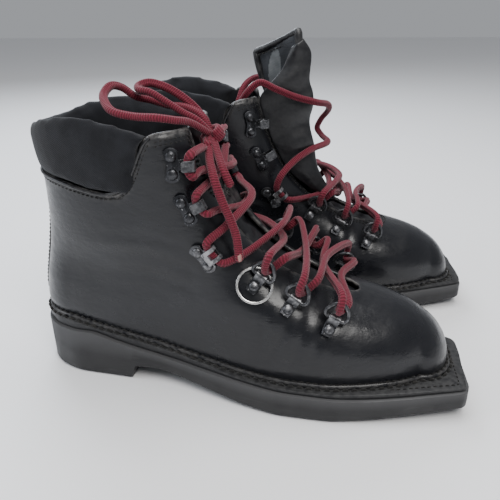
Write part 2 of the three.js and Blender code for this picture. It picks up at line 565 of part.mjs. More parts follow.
const BOW = [
  [knotPoint, [131, -20, 193], [125, -30, 196], [116, -37, 198.5], [102, -38, 199], [89, -38, 201.5],
    [81, -31, 205], [76, -22, 209], [77, -12, 213], [81, -5, 211], [88, -1, 205], [98, 3, 202],
    [110, 3, 199], [122, 2, 198], [134, -1, 193], knotPoint],
  [knotPoint, [133, -9, 192], [123, -9, 197], [112, -9, 203.5], [102, -9, 209], [94, -7, 210], [91, 0, 211.5],
    [96, 5, 213], [107, 7, 210], [119, 8, 203], [129, 8, 194], knotPoint],
  [knotPoint, [144, -22, 172.5], [151, -37, 162], [156, -39, 149], [161, -39, 137], [165, -40, 126],
    [167.5, -43, 111]],
  [knotPoint, [149.5, -21, 173], [155.5, -31, 166], [160, -32, 157]],
];
function laceBow() {
  const ball = new THREE.SphereGeometry(1, 12, 8).scale(...KNOT.reach).translate(...knotPoint);
  return BOW.reduce((joined, points) => joined.add(solid(cord(points))), solid(ball));
}

// ---- Assembly -------------------------------------------------------------------------------------------
const boots = new THREE.Group();
function add(parent, name, shape, look, matrix) {
  const mesh = new THREE.Mesh(shape.isBufferGeometry ? shape : geometryOf(shape), LOOK[look]);
  mesh.name = name;
  if (matrix) mesh.applyMatrix4(matrix);
  parent.add(mesh);
  return mesh;
}
const outsoleSolid = outsole();
const midsoleSolid = midsole();
function boot(side, heel, yaw) {
  const frame = new THREE.Group();
  frame.position.set(heel.x, heel.y, 0);
  frame.rotation.z = yaw;
  frame.scale.y = side === "left" ? -1 : 1;
  const opened = side === "left" ? 4 : 0;
  add(frame, side + "_outsole", outsoleSolid, "rubber");
  add(frame, side + "_midsole", midsoleSolid, "welt");
  add(frame, side + "_shank", shank(), "steel");
  add(frame, side + "_insole", insole(), "board");
  add(frame, side + "_upper", upper(opened), "leather");
  add(frame, side + "_collar", collar(), "collar");
  add(frame, side + "_heel_counter", heelCounter(), "board");
  add(frame, side + "_toe_puff", toePuff(), "board");
  add(frame, side + "_backstay", backstay(), "leather");
  add(frame, side + "_tongue", side === "left" ? raisedTongue() : closedTongue(), "lining");
  for (const [word, sign] of [["outer", -1], ["inner", 1]]) {
    RING_PLACES.forEach(([x, z, towards], i) => {
      const place = surfaceFrame(x, z, sign, towards);
      add(frame, `${side}_${word}_clip_${i + 1}`, ringClip(), "hardware", place);
      add(frame, `${side}_${word}_d_ring_${i + 1}`, dRing(), "hardware", place);
    });
    HOOK_PLACES.forEach(([x, z, towards], i) => {
      const place = surfaceFrame(x, z, sign, towards);
      add(frame, `${side}_${word}_hook_${i + 1}`, laceHook(i === 2 ? 10 : 7), "hardware", place);
    });
  }
  boots.add(frame);
  return frame;
}
const right = boot("right", new THREE.Vector2(0, 0), -BOOT_YAW);
add(right, "right_lacing", cord(RIGHT_LACING), "lace");
add(right, "right_lace_bow", laceBow(), "lace");
const [ringX, ringZ, ringTowards] = RING_PLACES[0];
const ringPlace = surfaceFrame(ringX, ringZ, -1, ringTowards);
ringPlace.multiply(new THREE.Matrix4().makeTranslation(0.6, 0, 0.9));
add(right, "right_key_ring", keyRing(), "steel", ringPlace);
const left = boot("left", LEFT_HEEL, BOOT_YAW);
add(left, "left_lacing", cord(LEFT_LACING), "lace");

boots.updateMatrixWorld(true);
const box = new THREE.Box3().setFromObject(boots, true);
const origin = new THREE.Group();
boots.position.set(-(box.min.x + box.max.x) / 2, -(box.min.y + box.max.y) / 2, -box.min.z);
origin.add(boots);

export default origin;
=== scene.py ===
"""Looks of a pair of lace-up leather touring ski boots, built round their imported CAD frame.

Shapes are drawn per boot in millimetres: x from heel to toe, y towards the inner side, z up from the floor.
"""
import math

import bmesh
import bpy
import numpy as np
from mathutils import Matrix, Vector
from mathutils.bvhtree import BVHTree


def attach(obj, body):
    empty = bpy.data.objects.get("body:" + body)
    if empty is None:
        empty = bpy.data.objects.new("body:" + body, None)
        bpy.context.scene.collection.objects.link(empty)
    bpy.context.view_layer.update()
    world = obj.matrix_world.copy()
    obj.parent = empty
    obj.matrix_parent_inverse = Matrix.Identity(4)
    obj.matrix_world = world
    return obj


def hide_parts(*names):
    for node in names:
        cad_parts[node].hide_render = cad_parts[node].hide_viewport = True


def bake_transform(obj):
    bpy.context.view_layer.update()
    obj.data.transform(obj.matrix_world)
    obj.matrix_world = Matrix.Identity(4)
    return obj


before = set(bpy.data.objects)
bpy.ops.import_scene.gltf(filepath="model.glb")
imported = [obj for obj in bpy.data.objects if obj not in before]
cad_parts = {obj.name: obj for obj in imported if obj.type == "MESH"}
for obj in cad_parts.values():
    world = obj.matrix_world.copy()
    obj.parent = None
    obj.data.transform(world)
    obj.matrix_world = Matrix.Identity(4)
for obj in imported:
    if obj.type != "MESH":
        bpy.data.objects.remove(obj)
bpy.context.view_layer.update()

MM = 0.001
YAW = math.radians(5.2)
RIGHT_HEEL = (-173.4254, -50.85)
LEFT_HEEL = (-147.0254, 50.85)


def boot_matrix(side):
    """From a boot's own millimetres to the row frame in metres; the left boot is the mirror image."""
    turn, heel, flip = (-YAW, RIGHT_HEEL, 1) if side == "right" else (YAW, LEFT_HEEL, -1)
    place = Matrix.Translation((heel[0] * MM, heel[1] * MM, 0)) @ Matrix.Rotation(turn, 4, "Z")
    return place @ Matrix.Scale(MM, 4) @ Matrix.Diagonal((1, flip, 1, 1))


def to_row(points, side):
    m = np.array(boot_matrix(side))
    return np.asarray(points, float) @ m[:3, :3].T + m[:3, 3]


# ---- Camera ---------------------------------------------------------------------------------------
CAMERA_PLACE = (0.0365, -0.42195, 0.2627)
CAMERA_YAW, CAMERA_PITCH, CAMERA_ROLL = 7.29, -24.58, -0.6
CAMERA_LENS = 39.4

camera = bpy.data.objects.new("camera", bpy.data.cameras.new("camera"))
bpy.context.scene.collection.objects.link(camera)
bpy.context.scene.camera = camera
camera.data.lens = CAMERA_LENS
camera.data.sensor_width = 36
camera.data.clip_start = 0.01
camera.location = CAMERA_PLACE
looking = (Matrix.Rotation(math.radians(CAMERA_YAW), 4, "Z")
           @ Matrix.Rotation(math.radians(90 + CAMERA_PITCH), 4, "X")
           @ Matrix.Rotation(math.radians(CAMERA_ROLL), 4, "Z"))
camera.rotation_mode = "QUATERNION"
camera.rotation_quaternion = looking.to_quaternion()


# ---- Materials ------------------------------------------------------------------------------------
class Look:
    """A procedural material: each method adds nodes and returns the socket that carries the result."""

    def __init__(self, name, rough, metal=0.0, **constants):
        self.material = bpy.data.materials.new(name)
        self.material.use_nodes = True
        self.tree = self.material.node_tree
        self.shader = self.tree.nodes["Principled BSDF"]
        self.shader.inputs["Metallic"].default_value = metal
        self.shader.inputs["Roughness"].default_value = rough
        for socket, value in constants.items():
            self.shader.inputs[socket.replace("_", " ")].default_value = value
        self.where = self.tree.nodes.new("ShaderNodeTexCoord").outputs["Object"]

    def node(self, kind, **settings):
        made = self.tree.nodes.new("ShaderNode" + kind)
        for key, value in settings.items():
            setattr(made, key, value)
        return made

    def link(self, source, node, socket):
        if isinstance(source, bpy.types.NodeSocket):
            self.tree.links.new(source, node.inputs[socket])
        else:
            node.inputs[socket].default_value = source

    def math(self, operation, a, b=0.0):
        made = self.node("Math", operation=operation)
        self.link(a, made, 0)
        self.link(b, made, 1)
        return made.outputs[0]

    def noise(self, scale, detail=3.0, stretch=None):
        made = self.node("TexNoise")
        made.inputs["Scale"].default_value = scale
        made.inputs["Detail"].default_value = detail
        self.link(self.stretched(stretch), made, "Vector")
        return made.outputs[0]

    def cells(self, scale):
        made = self.node("TexVoronoi")
        made.inputs["Scale"].default_value = scale
        self.link(self.where, made, "Vector")
        return made.outputs["Distance"]

    def stretched(self, stretch):
        if stretch is None:
            return self.where
        made = self.node("Mapping")
        made.inputs["Scale"].default_value = stretch
        self.link(self.where, made, "Vector")
        return made.outputs[0]

    def attribute(self, name):
        return self.node("Attribute", attribute_name=name).outputs["Fac"]

    def span(self, value, low, high, to_low=0.0, to_high=1.0):
        made = self.node("MapRange")
        for i, v in enumerate((value, low, high, to_low, to_high)):
            self.link(v, made, i)
        return made.outputs[0]

    def mixed(self, amount, a, b):
        made = self.node("Mix", data_type="RGBA")
        self.link(amount, made, 0)
        self.link(a if isinstance(a, bpy.types.NodeSocket) else (*a, 1), made, 6)
        self.link(b if isinstance(b, bpy.types.NodeSocket) else (*b, 1), made, 7)
        return made.outputs[2]

    def colour(self, value):
        self.link(value, self.shader, "Base Color")

    def roughness(self, value):
        self.link(value, self.shader, "Roughness")

    def bump(self, *layers):
        """Layers of (height, strength, distance in metres), one on top of the other."""
        normal = None
        for height, strength, distance in layers:
            made = self.node("Bump")
            self.link(height, made, "Height")
            made.inputs["Strength"].default_value = strength
            made.inputs["Distance"].default_value = distance
            if normal:
                self.link(normal, made, "Normal")
            normal = made.outputs[0]
        self.link(normal, self.shader, "Normal")


def leather_look(name, base, worn, rough):
    look = Look(name, rough, Coat_Weight=0.16, Coat_Roughness=0.2, Specular_IOR_Level=0.32)
    wear = look.math("MULTIPLY", look.attribute("wear"), look.span(look.noise(260), 0.35, 0.6))
    patches = look.mixed(look.noise(38), base, tuple(1.5 * c for c in base))
    look.colour(look.mixed(wear, patches, worn))
    smear = look.span(look.noise(55, stretch=(1, 1, 2.4)), 0.3, 0.7, rough - 0.07, rough + 0.1)
    look.roughness(look.math("ADD", smear, look.math("MULTIPLY", wear, 0.25)))
    wrinkles = look.span(look.noise(150, 5, (1, 1, 1.8)), 0.35, 0.62)
    look.bump((look.noise(70), 0.35, 0.0009), (wrinkles, 0.2, 0.0005), (look.cells(1150), 0.16, 0.00012),
              (look.noise(420, 4), 0.25, 0.00025))
    return look.material


def fabric_look(name, base, light, weave):
    look = Look(name, 0.92, Sheen_Weight=0.12, Sheen_Roughness=0.5, Specular_IOR_Level=0.2)
    threads = []
    for direction, scale in (("DIAGONAL", weave), ("Z", weave * 1.1)):
        wave = look.node("TexWave", wave_type="BANDS", bands_direction=direction)
        wave.inputs["Scale"].default_value = scale
        wave.inputs["Distortion"].default_value = 1.5
        look.link(look.where, wave, "Vector")
        threads.append(wave.outputs["Fac"])
    cloth = look.math("MAXIMUM", *threads)
    worn = look.mixed(look.span(look.noise(90), 0.35, 0.7), base, light)
    look.colour(look.mixed(look.math("MULTIPLY", cloth, 0.35), worn, tuple(0.45 * c for c in base)))
    look.bump((look.noise(60), 0.3, 0.0008), (cloth, 0.5, 0.0003), (look.noise(1400), 0.35, 0.0002))
    return look.material


def rubber_look():
    look = Look("rubber", 0.55, Specular_IOR_Level=0.4)
    scuffs = look.span(look.noise(120, 6, (0.5, 0.5, 3)), 0.5, 0.72)
    wear = look.math("MAXIMUM", look.math("MULTIPLY", look.attribute("wear"), 0.9),
                     look.math("MULTIPLY", scuffs, 0.3))
    look.colour(look.mixed(wear, (0.009, 0.009, 0.01), (0.06, 0.06, 0.062)))
    look.roughness(look.span(look.noise(45), 0.3, 0.7, 0.42, 0.66))
    look.bump((look.noise(50), 0.2, 0.0008), (look.noise(900), 0.3, 0.0002))
    return look.material


def metal_look(name, base, worn, rough, metal):
    look = Look(name, rough, metal, Specular_IOR_Level=0.5)
    handled = look.math("MULTIPLY", look.attribute("wear"), look.span(look.noise(350), 0.3, 0.6))
    rubbed = look.math("MAXIMUM", handled, look.span(look.noise(700, 5), 0.62, 0.72))
    look.colour(look.mixed(rubbed, base, worn))
    look.roughness(look.span(look.noise(500), 0.3, 0.7, rough - 0.08, rough + 0.12))
    look.bump((look.noise(900), 0.2, 0.00012))
    return look.material


def lace_look():
    """A flat-sided braid: threads lie in chevrons that meet along its groove."""
    look = Look("lace", 0.85, Sheen_Weight=0.15, Sheen_Roughness=0.45, Specular_IOR_Level=0.3)
    parts = look.node("SeparateXYZ")
    look.link(look.node("UVMap", uv_map="along").outputs[0], parts, 0)
    along, around = parts.outputs[0], parts.outputs[1]
    ribs = look.math("SINE", look.math("MULTIPLY", look.math("ADD", along, around), 2 * math.pi))
    height = look.span(ribs, -0.9, 0.9)
    fuzz = look.span(look.noise(2200), 0.3, 0.75)
    thread = look.mixed(fuzz, (0.115, 0.007, 0.019), (0.205, 0.018, 0.043))
    # Painted shade: the braid's colour goes to the deeper red in the grooves between its ribs, where height is
    # low, and to the thread's red on the ridges.
    look.colour(look.mixed(height, (0.075, 0.004, 0.010), thread))
    look.bump((height, 0.8, 0.00035), (look.noise(3000), 0.35, 0.0002))
    return look.material


LOOKS = {
    "leather": leather_look("leather", (0.0055, 0.0058, 0.0075), (0.11, 0.105, 0.1), 0.3),
    "tongue_leather": leather_look("tongue_leather", (0.006, 0.0062, 0.0075), (0.07, 0.07, 0.07), 0.42),
    "collar": fabric_look("collar", (0.0075, 0.008, 0.0105), (0.016, 0.017, 0.021), 420),
    "tongue": fabric_look("tongue", (0.022, 0.025, 0.03), (0.05, 0.055, 0.064), 500),
    "panel": fabric_look("panel", (0.1, 0.11, 0.118), (0.2, 0.212, 0.22), 500),
    "rubber": rubber_look(),
    "welt": leather_look("welt", (0.007, 0.007, 0.008), (0.05, 0.05, 0.05), 0.5),
    "thread": fabric_look("thread", (0.010, 0.010, 0.0098), (0.03, 0.028, 0.026), 900),
    "board": leather_look("board", (0.022, 0.019, 0.017), (0.06, 0.05, 0.045), 0.7),
    "steel": metal_look("steel", (0.62, 0.61, 0.59), (0.8, 0.8, 0.79), 0.24, 1.0),
    "hardware": metal_look("hardware", (0.035, 0.036, 0.04), (0.3, 0.3, 0.31), 0.32, 0.85),
    "lace": lace_look(),
    "aglet": metal_look("aglet", (0.26, 0.11, 0.1), (0.45, 0.3, 0.26), 0.45, 0.0),
}


# ---- Curves that give a boot its shape ----------------------------------------------------------------
def through(points):
    """A smooth curve through a few (input, value) points that never overshoots them."""
    px, py = np.array(points, float).T
    step = np.diff(py) / np.diff(px)
    a, b = step[:-1], step[1:]
    total = np.where(a + b == 0, 1, a + b)
    slope = np.concatenate([step[:1], np.where(a * b <= 0, 0, 2 * a * b / total), step[-1:]])

    def value(x):
        at = np.clip(x, px[0], px[-1])
        i = np.clip(np.searchsorted(px, at, side="right") - 1, 0, len(px) - 2)
        h = px[i + 1] - px[i]
        t = (at - px[i]) / h
        return (py[i] * (1 + 2 * t) * (1 - t) ** 2 + slope[i] * h * t * (1 - t) ** 2
                + py[i + 1] * t * t * (3 - 2 * t) + slope[i + 1] * h * t * t * (t - 1))

    return value


def curves(table):
    """A smooth curve for each column of a table, over the numbers of its rows."""
    return [through(list(enumerate(column))) for column in zip(*table)]


def smooth(x, low, high):
    """Goes from 0 at low to 1 at high with no corners."""
    t = np.clip((np.asarray(x, float) - low) / (high - low), 0, 1)
    return t * t * (3 - 2 * t)


def lerp(a, b, t):
    return a + (b - a) * t


BACK = [(45.5, 5), (54, 2.6), (66, 4), (81, 7.2), (97, 11), (114, 14.5), (132, 16.7), (150, 17.5), (170, 17),
        (190, 15.5), (214, 13)]
FRONT = [(24, 310), (36, 309), (44, 305.5), (51, 300), (57.5, 292), (64, 281), (69, 268), (72.5, 256),
         (75, 246), (77, 238), (79, 231), (81, 225), (83, 219), (85.5, 213), (88.5, 206.5), (92, 199.5),
         (96, 191.5), (102, 182.5), (110, 172.5), (121, 162), (136, 152), (153, 143), (172, 135.5),
         (190, 131), (214, 127)]
back_x = through(BACK)
front_x = through(FRONT)
top_z = through([(x, z) for z, x in reversed(FRONT)])
feather_z = through([(5, 45.5), (28, 44.7), (58, 39.2), (92, 33), (128, 27.4), (164, 23.6), (200, 21.5),
                     (230, 21.2), (256, 22), (277, 22.5), (292, 22.9), (301, 23.3), (310, 24)])
lateral_width = through([(33, 31), (45, 32.3), (70, 32.8), (100, 34), (130, 38), (160, 44.5), (185, 49.5),
                         (205, 51.5), (222, 51.3), (240, 48.8), (260, 43.8), (278, 36.5), (290, 29)])
medial_width = through([(33, 31), (60, 32.3), (90, 31), (120, 31), (150, 34.5), (180, 40.5), (205, 44.5),
                        (225, 46), (240, 46), (258, 43), (275, 37), (290, 29)])
middle_y = through([(0, 0), (120, 0), (220, 1.5), (310, 4)])
shaft_width = through([(40, 34), (70, 36.5), (90, 38), (110, 39.5), (140, 41), (170, 43), (190, 44.5),
                       (214, 45.5)])
SHAFT_FRONT, SHAFT_BACK = 4.2, 2.35  # how square the shaft's plan is
HEEL_ROUND = 31
TOE_ROUND_FROM, TOE_END = 290, 310
FAN = [  # planes across the upper, each by its (x, z) at the sole and at the front
    (13, 214, 127, 214), (16.5, 180, 133, 181), (17.5, 150, 143, 153), (16, 126, 154, 132),
    (12.5, 104, 167, 115.5), (7.2, 81, 182.5, 102), (4, 66, 191.5, 96), (2.6, 54, 199.5, 92),
    (5, 45.5, 206.5, 88.5), (28, 44.7, 213, 85.5), (58, 39.2, 219, 83), (92, 33, 225, 81),
    (128, 27.4, 231, 79), (164, 23.6, 238, 77), (200, 21.5, 246, 75), (230, 21.2, 256, 72.5),
    (256, 22, 268, 69), (277, 22.5, 281, 64), (292, 22.9, 292, 57.5), (301, 23.3, 300, 51),
    (306.5, 23.7, 305.5, 44),(309.3, 24, 309, 36)]
SEAM = [(-20, 158), (17, 157), (45, 153.5), (72, 148.5), (82, 147.5), (90, 150), (97, 159), (103, 171),
        (107, 181), (112, 187)]
seam_z = through(SEAM)
facing_z = through(SEAM + [(120, 189), (160, 190)])
collar_z = through([(-20, 185), (17, 189), (40, 196.5), (64, 200), (88, 197.3), (98, 194.5), (107, 191),
                    (112, 188)])
THROAT = [(245, 75.4, 0), (244, 75.6, 3), (241, 76.3, 6.5), (233, 78.5, 10), (219, 83, 13), (206, 88.5, 14.5),
          (192, 96, 15.5), (173, 110, 16), (162, 121, 16), (152, 136, 16.5), (143, 153, 17), (135.5, 172, 18),
          (131, 190, 19), (127, 214, 20)]
RIM = [(0, 36.5), (48, 36.5), (70, 31), (93, 26), (121, 22), (167, 20), (205, 18.2), (239, 17.8), (270, 18.6),
       (296, 19.6), (330, 21)]
rim_z = through(RIM)
WELT_FLAT_FROM = 300
tread_z = through([(-5, 0), (79.5, 0), (84, 10.5), (99, 11.5), (120, 8.4), (151, 4.2), (181, 1), (196, 0),
                   (226, 0), (250, 1.4), (284, 4.6), (316, 7), (330, 8)])
lateral_edge = through([(0, 0), (1, 7.5), (2.5, 12), (5.5, 18), (10, 23.5), (22, 32), (40, 36.8),
                        (80, 37.5), (110, 39), (140, 45.5), (170, 53), (200, 57), (226, 56.5), (250, 53),
                        (275, 47), (300, 39.5), (314.5, 35), (318.6, 33.4), (321.4, 30.6), (322.8, 26),
                        (323, 24)])
medial_edge = through([(0, 0), (1, 7.5), (2.5, 12), (5.5, 18), (10, 23.5), (22, 32), (40, 36.2), (75, 35),
                       (110, 33.5), (140, 35.5), (170, 40.5), (205, 47), (236, 50), (262, 47.5),
                       (290, 41.5), (310.5, 36), (315.5, 34), (318.4, 30.6), (319.4, 26), (321, 3),
                       (323, -23.5)])
LEATHER = 2.6


def welt_top(x):
    at = np.minimum(x, WELT_FLAT_FROM)
    return np.maximum(feather_z(at) - 0.3, rim_z(at) + 3)


def plan_width(x, side):
    width = np.where(side < 0, lateral_width(x), medial_width(x))
    heel = HEEL_ROUND + BACK[1][1]
    t = np.clip((heel - x) / HEEL_ROUND, 0, 1)
    width = np.where(x < heel, HEEL_ROUND * np.sqrt(1 - t * t), width)
    t = np.clip((x - TOE_ROUND_FROM) / (TOE_END - TOE_ROUND_FROM), 0, 1)
    toe = np.where(side < 0, lateral_width(TOE_ROUND_FROM), medial_width(TOE_ROUND_FROM))
    return np.where(x > TOE_ROUND_FROM, toe * (1 - t * t) ** 0.45, width)


def half_width(x, z, side):
    """Half width of the upper: a domed foot that becomes a boxy shaft."""
    back_edge = back_x(np.maximum(z, BACK[0][0]))
    shifted = x - (back_edge - BACK[1][1]) * (1 - smooth(x, 30, 110))
    width = plan_width(shifted, side)
    bottom, top = feather_z(x), top_z(x)
    rise = np.clip((z - bottom) / np.maximum(top - bottom, 1), 0, 1)
    wall_end = lerp(14 / np.maximum(top - bottom, 50), 0.3 - 0.08 * smooth(x, 230, 300), smooth(x, 175, 225))
    t = np.clip((rise - wall_end) / (1 - wall_end), 0, 1)
    sharp = 2.3 + 2.1 * (1 - smooth(x, 176, 232))
    dome = np.maximum(0, 1 - t ** sharp) ** (1 / 2.1)
    low = np.where(rise < wall_end, 1 - 0.08 * np.maximum(0, 1 - rise / wall_end) ** 2, 1)
    wall = width * low * (1 - 0.04 * smooth(z, 60, 110))
    domed = width * np.where(rise < wall_end, low, dome)
    far = smooth(x, 125, 160)
    foot = np.where(x < 131, wall * (1 - far) + domed * far, domed * far + wall * (1 - far) * dome)
    front = front_x(z)
    centre, reach = (back_edge + front) / 2, (front - back_edge) / 2
    power = np.where(x > centre, SHAFT_FRONT, SHAFT_BACK)
    shaft = shaft_width(z) * np.maximum(0, 1 - np.abs((x - centre) / reach) ** power) ** (1 / power)
    return lerp(foot, shaft, smooth(z, 72, 116))


fan_at = curves(FAN)


def surface(place, turn):
    """A point of the upper's outside: place counts the fan's planes, turn goes round each of them."""
    x0, z0, x1, z1 = (f(place) for f in fan_at)
    along = (1 - np.cos(turn)) / 2
    x, z = lerp(x0, x1, along), lerp(z0, z1, along)
    side = np.where(turn < 0, -1.0, 1.0)
    return np.stack([x, middle_y(x) + side * half_width(x, z, side), z], -1)


# ---- Meshes ---------------------------------------------------------------------------------------
def piece(name, points, faces, side, look, body, replaces=(), uv=None, wear=None):
    """One object from points in a boot's millimetres, riding on a CAD body."""
    mesh = bpy.data.meshes.new(name)
    faces = [list(f) for f in faces]
    if side == "left":
        faces = [f[::-1] for f in faces]
    mesh.from_pydata([tuple(p) for p in to_row(points, side)], [], faces)
    if uv is not None:
        layer = mesh.uv_layers.new(name="along")
        index = np.empty(len(mesh.loops), int)
        mesh.loops.foreach_get("vertex_index", index)
        layer.data.foreach_set("uv", np.asarray(uv, float)[index].ravel())
    if wear is not None:
        mesh.attributes.new("wear", "FLOAT", "POINT").data.foreach_set("value", np.asarray(wear, float))
    mesh.polygons.foreach_set("use_smooth", [True] * len(mesh.polygons))
    mesh.materials.append(LOOKS[look])
    made = bpy.data.objects.new(name, mesh)
    bpy.context.scene.collection.objects.link(made)
    if body:
        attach(made, body)
    if replaces:
        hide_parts(*replaces)
    return made


def modify(obj, kind, **settings):
    made = obj.modifiers.new(kind.lower(), kind)
    for key, value in settings.items():
        setattr(made, key, value)
    return made


def grid_faces(rows, columns, wrap=False):
    """Quads over rows x columns points; wrap joins the last column to the first."""
    last = columns if wrap else columns - 1
    return [[i * columns + j, i * columns + (j + 1) % columns, (i + 1) * columns + (j + 1) % columns,
             (i + 1) * columns + j] for i in range(rows - 1) for j in range(last)]


def closed_skin(rings):
    """Rings of points joined one to the next, with both ends shut."""
    rings = np.asarray(rings, float)
    rows, columns = rings.shape[:2]
    faces = grid_faces(rows, columns, wrap=True)
    faces.append(list(range(columns))[::-1])
    faces.append([(rows - 1) * columns + j for j in range(columns)])
    return rings.reshape(-1, 3), faces


def gather(parts):
    """Several (points, faces) joined into one."""
    points, faces, count = [], [], 0
    for p, f in parts:
        points.append(np.asarray(p, float))
        faces += [[i + count for i in face] for face in f]
        count += len(p)
    return np.concatenate(points), faces


def run_of(path):
    """The distance along a path at each of its points."""
    return np.concatenate([[0], np.cumsum(np.linalg.norm(np.diff(path, axis=0), axis=1))])


def read_along(run, values, at):
    return np.stack([np.interp(at, run, values[:, k]) for k in range(3)], -1)


def headings(path):
    """A path's unit direction at each of its points."""
    ahead = np.gradient(path, axis=0)
    return ahead / np.maximum(np.linalg.norm(ahead, axis=1), 1e-6)[:, None]


def unit(vector):
    return vector / np.linalg.norm(vector)


def flow(points, step, closed=False):
    """A smooth curve through given points, at an even step."""
    p = np.asarray(points, float)
    p = np.vstack([p[-1], p, p[:2]]) if closed else np.vstack([2 * p[0] - p[1], p, 2 * p[-1] - p[-2]])
    fine = []
    for a, b, c, d in zip(p, p[1:], p[2:], p[3:]):
        reach = np.sqrt([np.linalg.norm(b - a), np.linalg.norm(c - b), np.linalg.norm(d - c)])
        k0, k1, k2, k3 = np.concatenate([[0], np.cumsum(np.maximum(reach, 1e-3))])
        for t in np.linspace(k1, k2, 13)[:-1]:
            a1 = (k1 - t) / (k1 - k0) * a + (t - k0) / (k1 - k0) * b
            a2 = (k2 - t) / (k2 - k1) * b + (t - k1) / (k2 - k1) * c
            a3 = (k3 - t) / (k3 - k2) * c + (t - k2) / (k3 - k2) * d
            b1 = (k2 - t) / (k2 - k0) * a1 + (t - k0) / (k2 - k0) * a2
            b2 = (k3 - t) / (k3 - k1) * a2 + (t - k1) / (k3 - k1) * a3
            fine.append((k2 - t) / (k2 - k1) * b1 + (t - k1) / (k2 - k1) * b2)
    fine.append(p[-2])
    return evenly(fine, step)


def evenly(points, step):
    p = np.asarray(points, float)
    run = run_of(p)
    return read_along(run, p, np.linspace(0, run[-1], max(2, round(run[-1] / step) + 1)))


def frames(path):
    """Tangent and two cross directions along a path, turning as little as they can."""
    ahead = headings(path)
    across = unit(np.cross(ahead[0], (0.3, 0.2, 1.0)))
    sides = []
    for t in ahead:
        across = unit(across - t * np.dot(across, t))
        sides.append(across)
    return ahead, np.array(sides), np.cross(ahead, sides)


def tube(path, section):
    """A section of (across, up) offsets swept along a path, with its two ends drawn in."""
    ahead, sides, ups = frames(path)
    section = np.asarray(section, float)
    rings = path[:, None] + section[None, :, :1] * sides[:, None] + section[None, :, 1:] * ups[:, None]
    lift = 0.45 * np.linalg.norm(section[0])
    first, last = ((path[end] + 0.55 * (rings[end] - path[end]) + way * lift * ahead[end])[None]
                   for end, way in ((0, -1), (-1, 1)))
    return closed_skin(np.concatenate([first, rings, last]))


def circle(radius, count, squash=1.0):
    turn = np.linspace(0, 2 * np.pi, count, endpoint=False)
    return np.stack([radius * np.cos(turn), radius * squash * np.sin(turn)], -1)


# ---- Laces ----------------------------------------------------------------------------------------
LACE_SECTION = np.array([(2.85, 0), (2.6, 1.1), (1.85, 1.95), (0.9, 2.3), (0, 1.5), (-0.9, 2.3),
                         (-1.85, 1.95), (-2.6, 1.1), (-2.85, 0), (-2.6, -1.1), (-1.85, -1.95),
                         (-0.9, -2.3), (0, -1.5), (0.9, -2.3), (1.85, -1.95), (2.6, -1.1)])
BRAID_PITCH, BRAID_STRANDS = 1.5, 2
LACE_STEP = 1.1
RIGHT_LACING = [
    (140, -21, 178), (137.5, -40, 177.5), (136, -40, 175), (136, -40.5, 166.5), (138.5, -41, 164),
    (140.5, -30.5, 165), (153, 0, 161), (143.5, 32, 156), (141, 43, 153), (140, 42.5, 149.5), (144, 42, 142),
    (146.5, 42.5, 140.5), (151.5, 32, 140), (166.5, 0.5, 139.5), (156.5, -32.5, 129.5), (147, -45.5, 122),
    (147, -45, 118.5), (154, -44.5, 109.5), (157, -45, 108.5), (168.5, -35, 111.5), (188.5, -1.5, 121),
    (186, 48, 114), (183.5, 46, 106.5), (184, 39, 102), (188.5, 35, 105), (194.5, 35.5, 110.5),
    (205, 1, 106), (209.5, -41.5, 102), (207.5, -45, 96), (207, -40.5, 89.5), (211.5, -35, 90.5),
    (217, -33, 96), (220.5, 1.5, 98.5), (234, 42.5, 90.5), (233, 45, 84), (232.5, 40, 78), (239, 33, 81),
    (231, 1.5, 84), (238, -32, 80.5), (232.5, -39.5, 78), (233.5, -44.5, 84), (234, -41.5, 90.5),
    (217.5, 1.5, 93), (217.5, 33, 97), (211.5, 34, 91.5), (206.5, 38.5, 90), (206.5, 44, 96),
    (208.5, 41.5, 102), (202.5, 1, 100.5), (195, -33, 109.5), (189, -34, 104), (184, -39, 102.5),
    (184.5, -44.5, 108.5), (187, -44.5, 116), (189, 2, 109.5), (170.5, 34, 108.5), (157, 45, 107.5),
    (154, 44.5, 108.5), (147, 46, 117.5), (147, 47, 120.5), (156.5, 33, 129.5), (160.5, 0.5, 133),
    (150.5, -31, 139.5), (146.5, -42, 140.5), (144, -42, 142), (140, -42.5, 149.5), (141, -43, 153),
    (143.5, -31.5, 155.5), (146, 0, 158), (140.5, 31, 165), (138.5, 41, 164), (136, 40.5, 166.5),
    (136, 40, 175), (137.5, 40, 177.5), (140, 11, 178)]
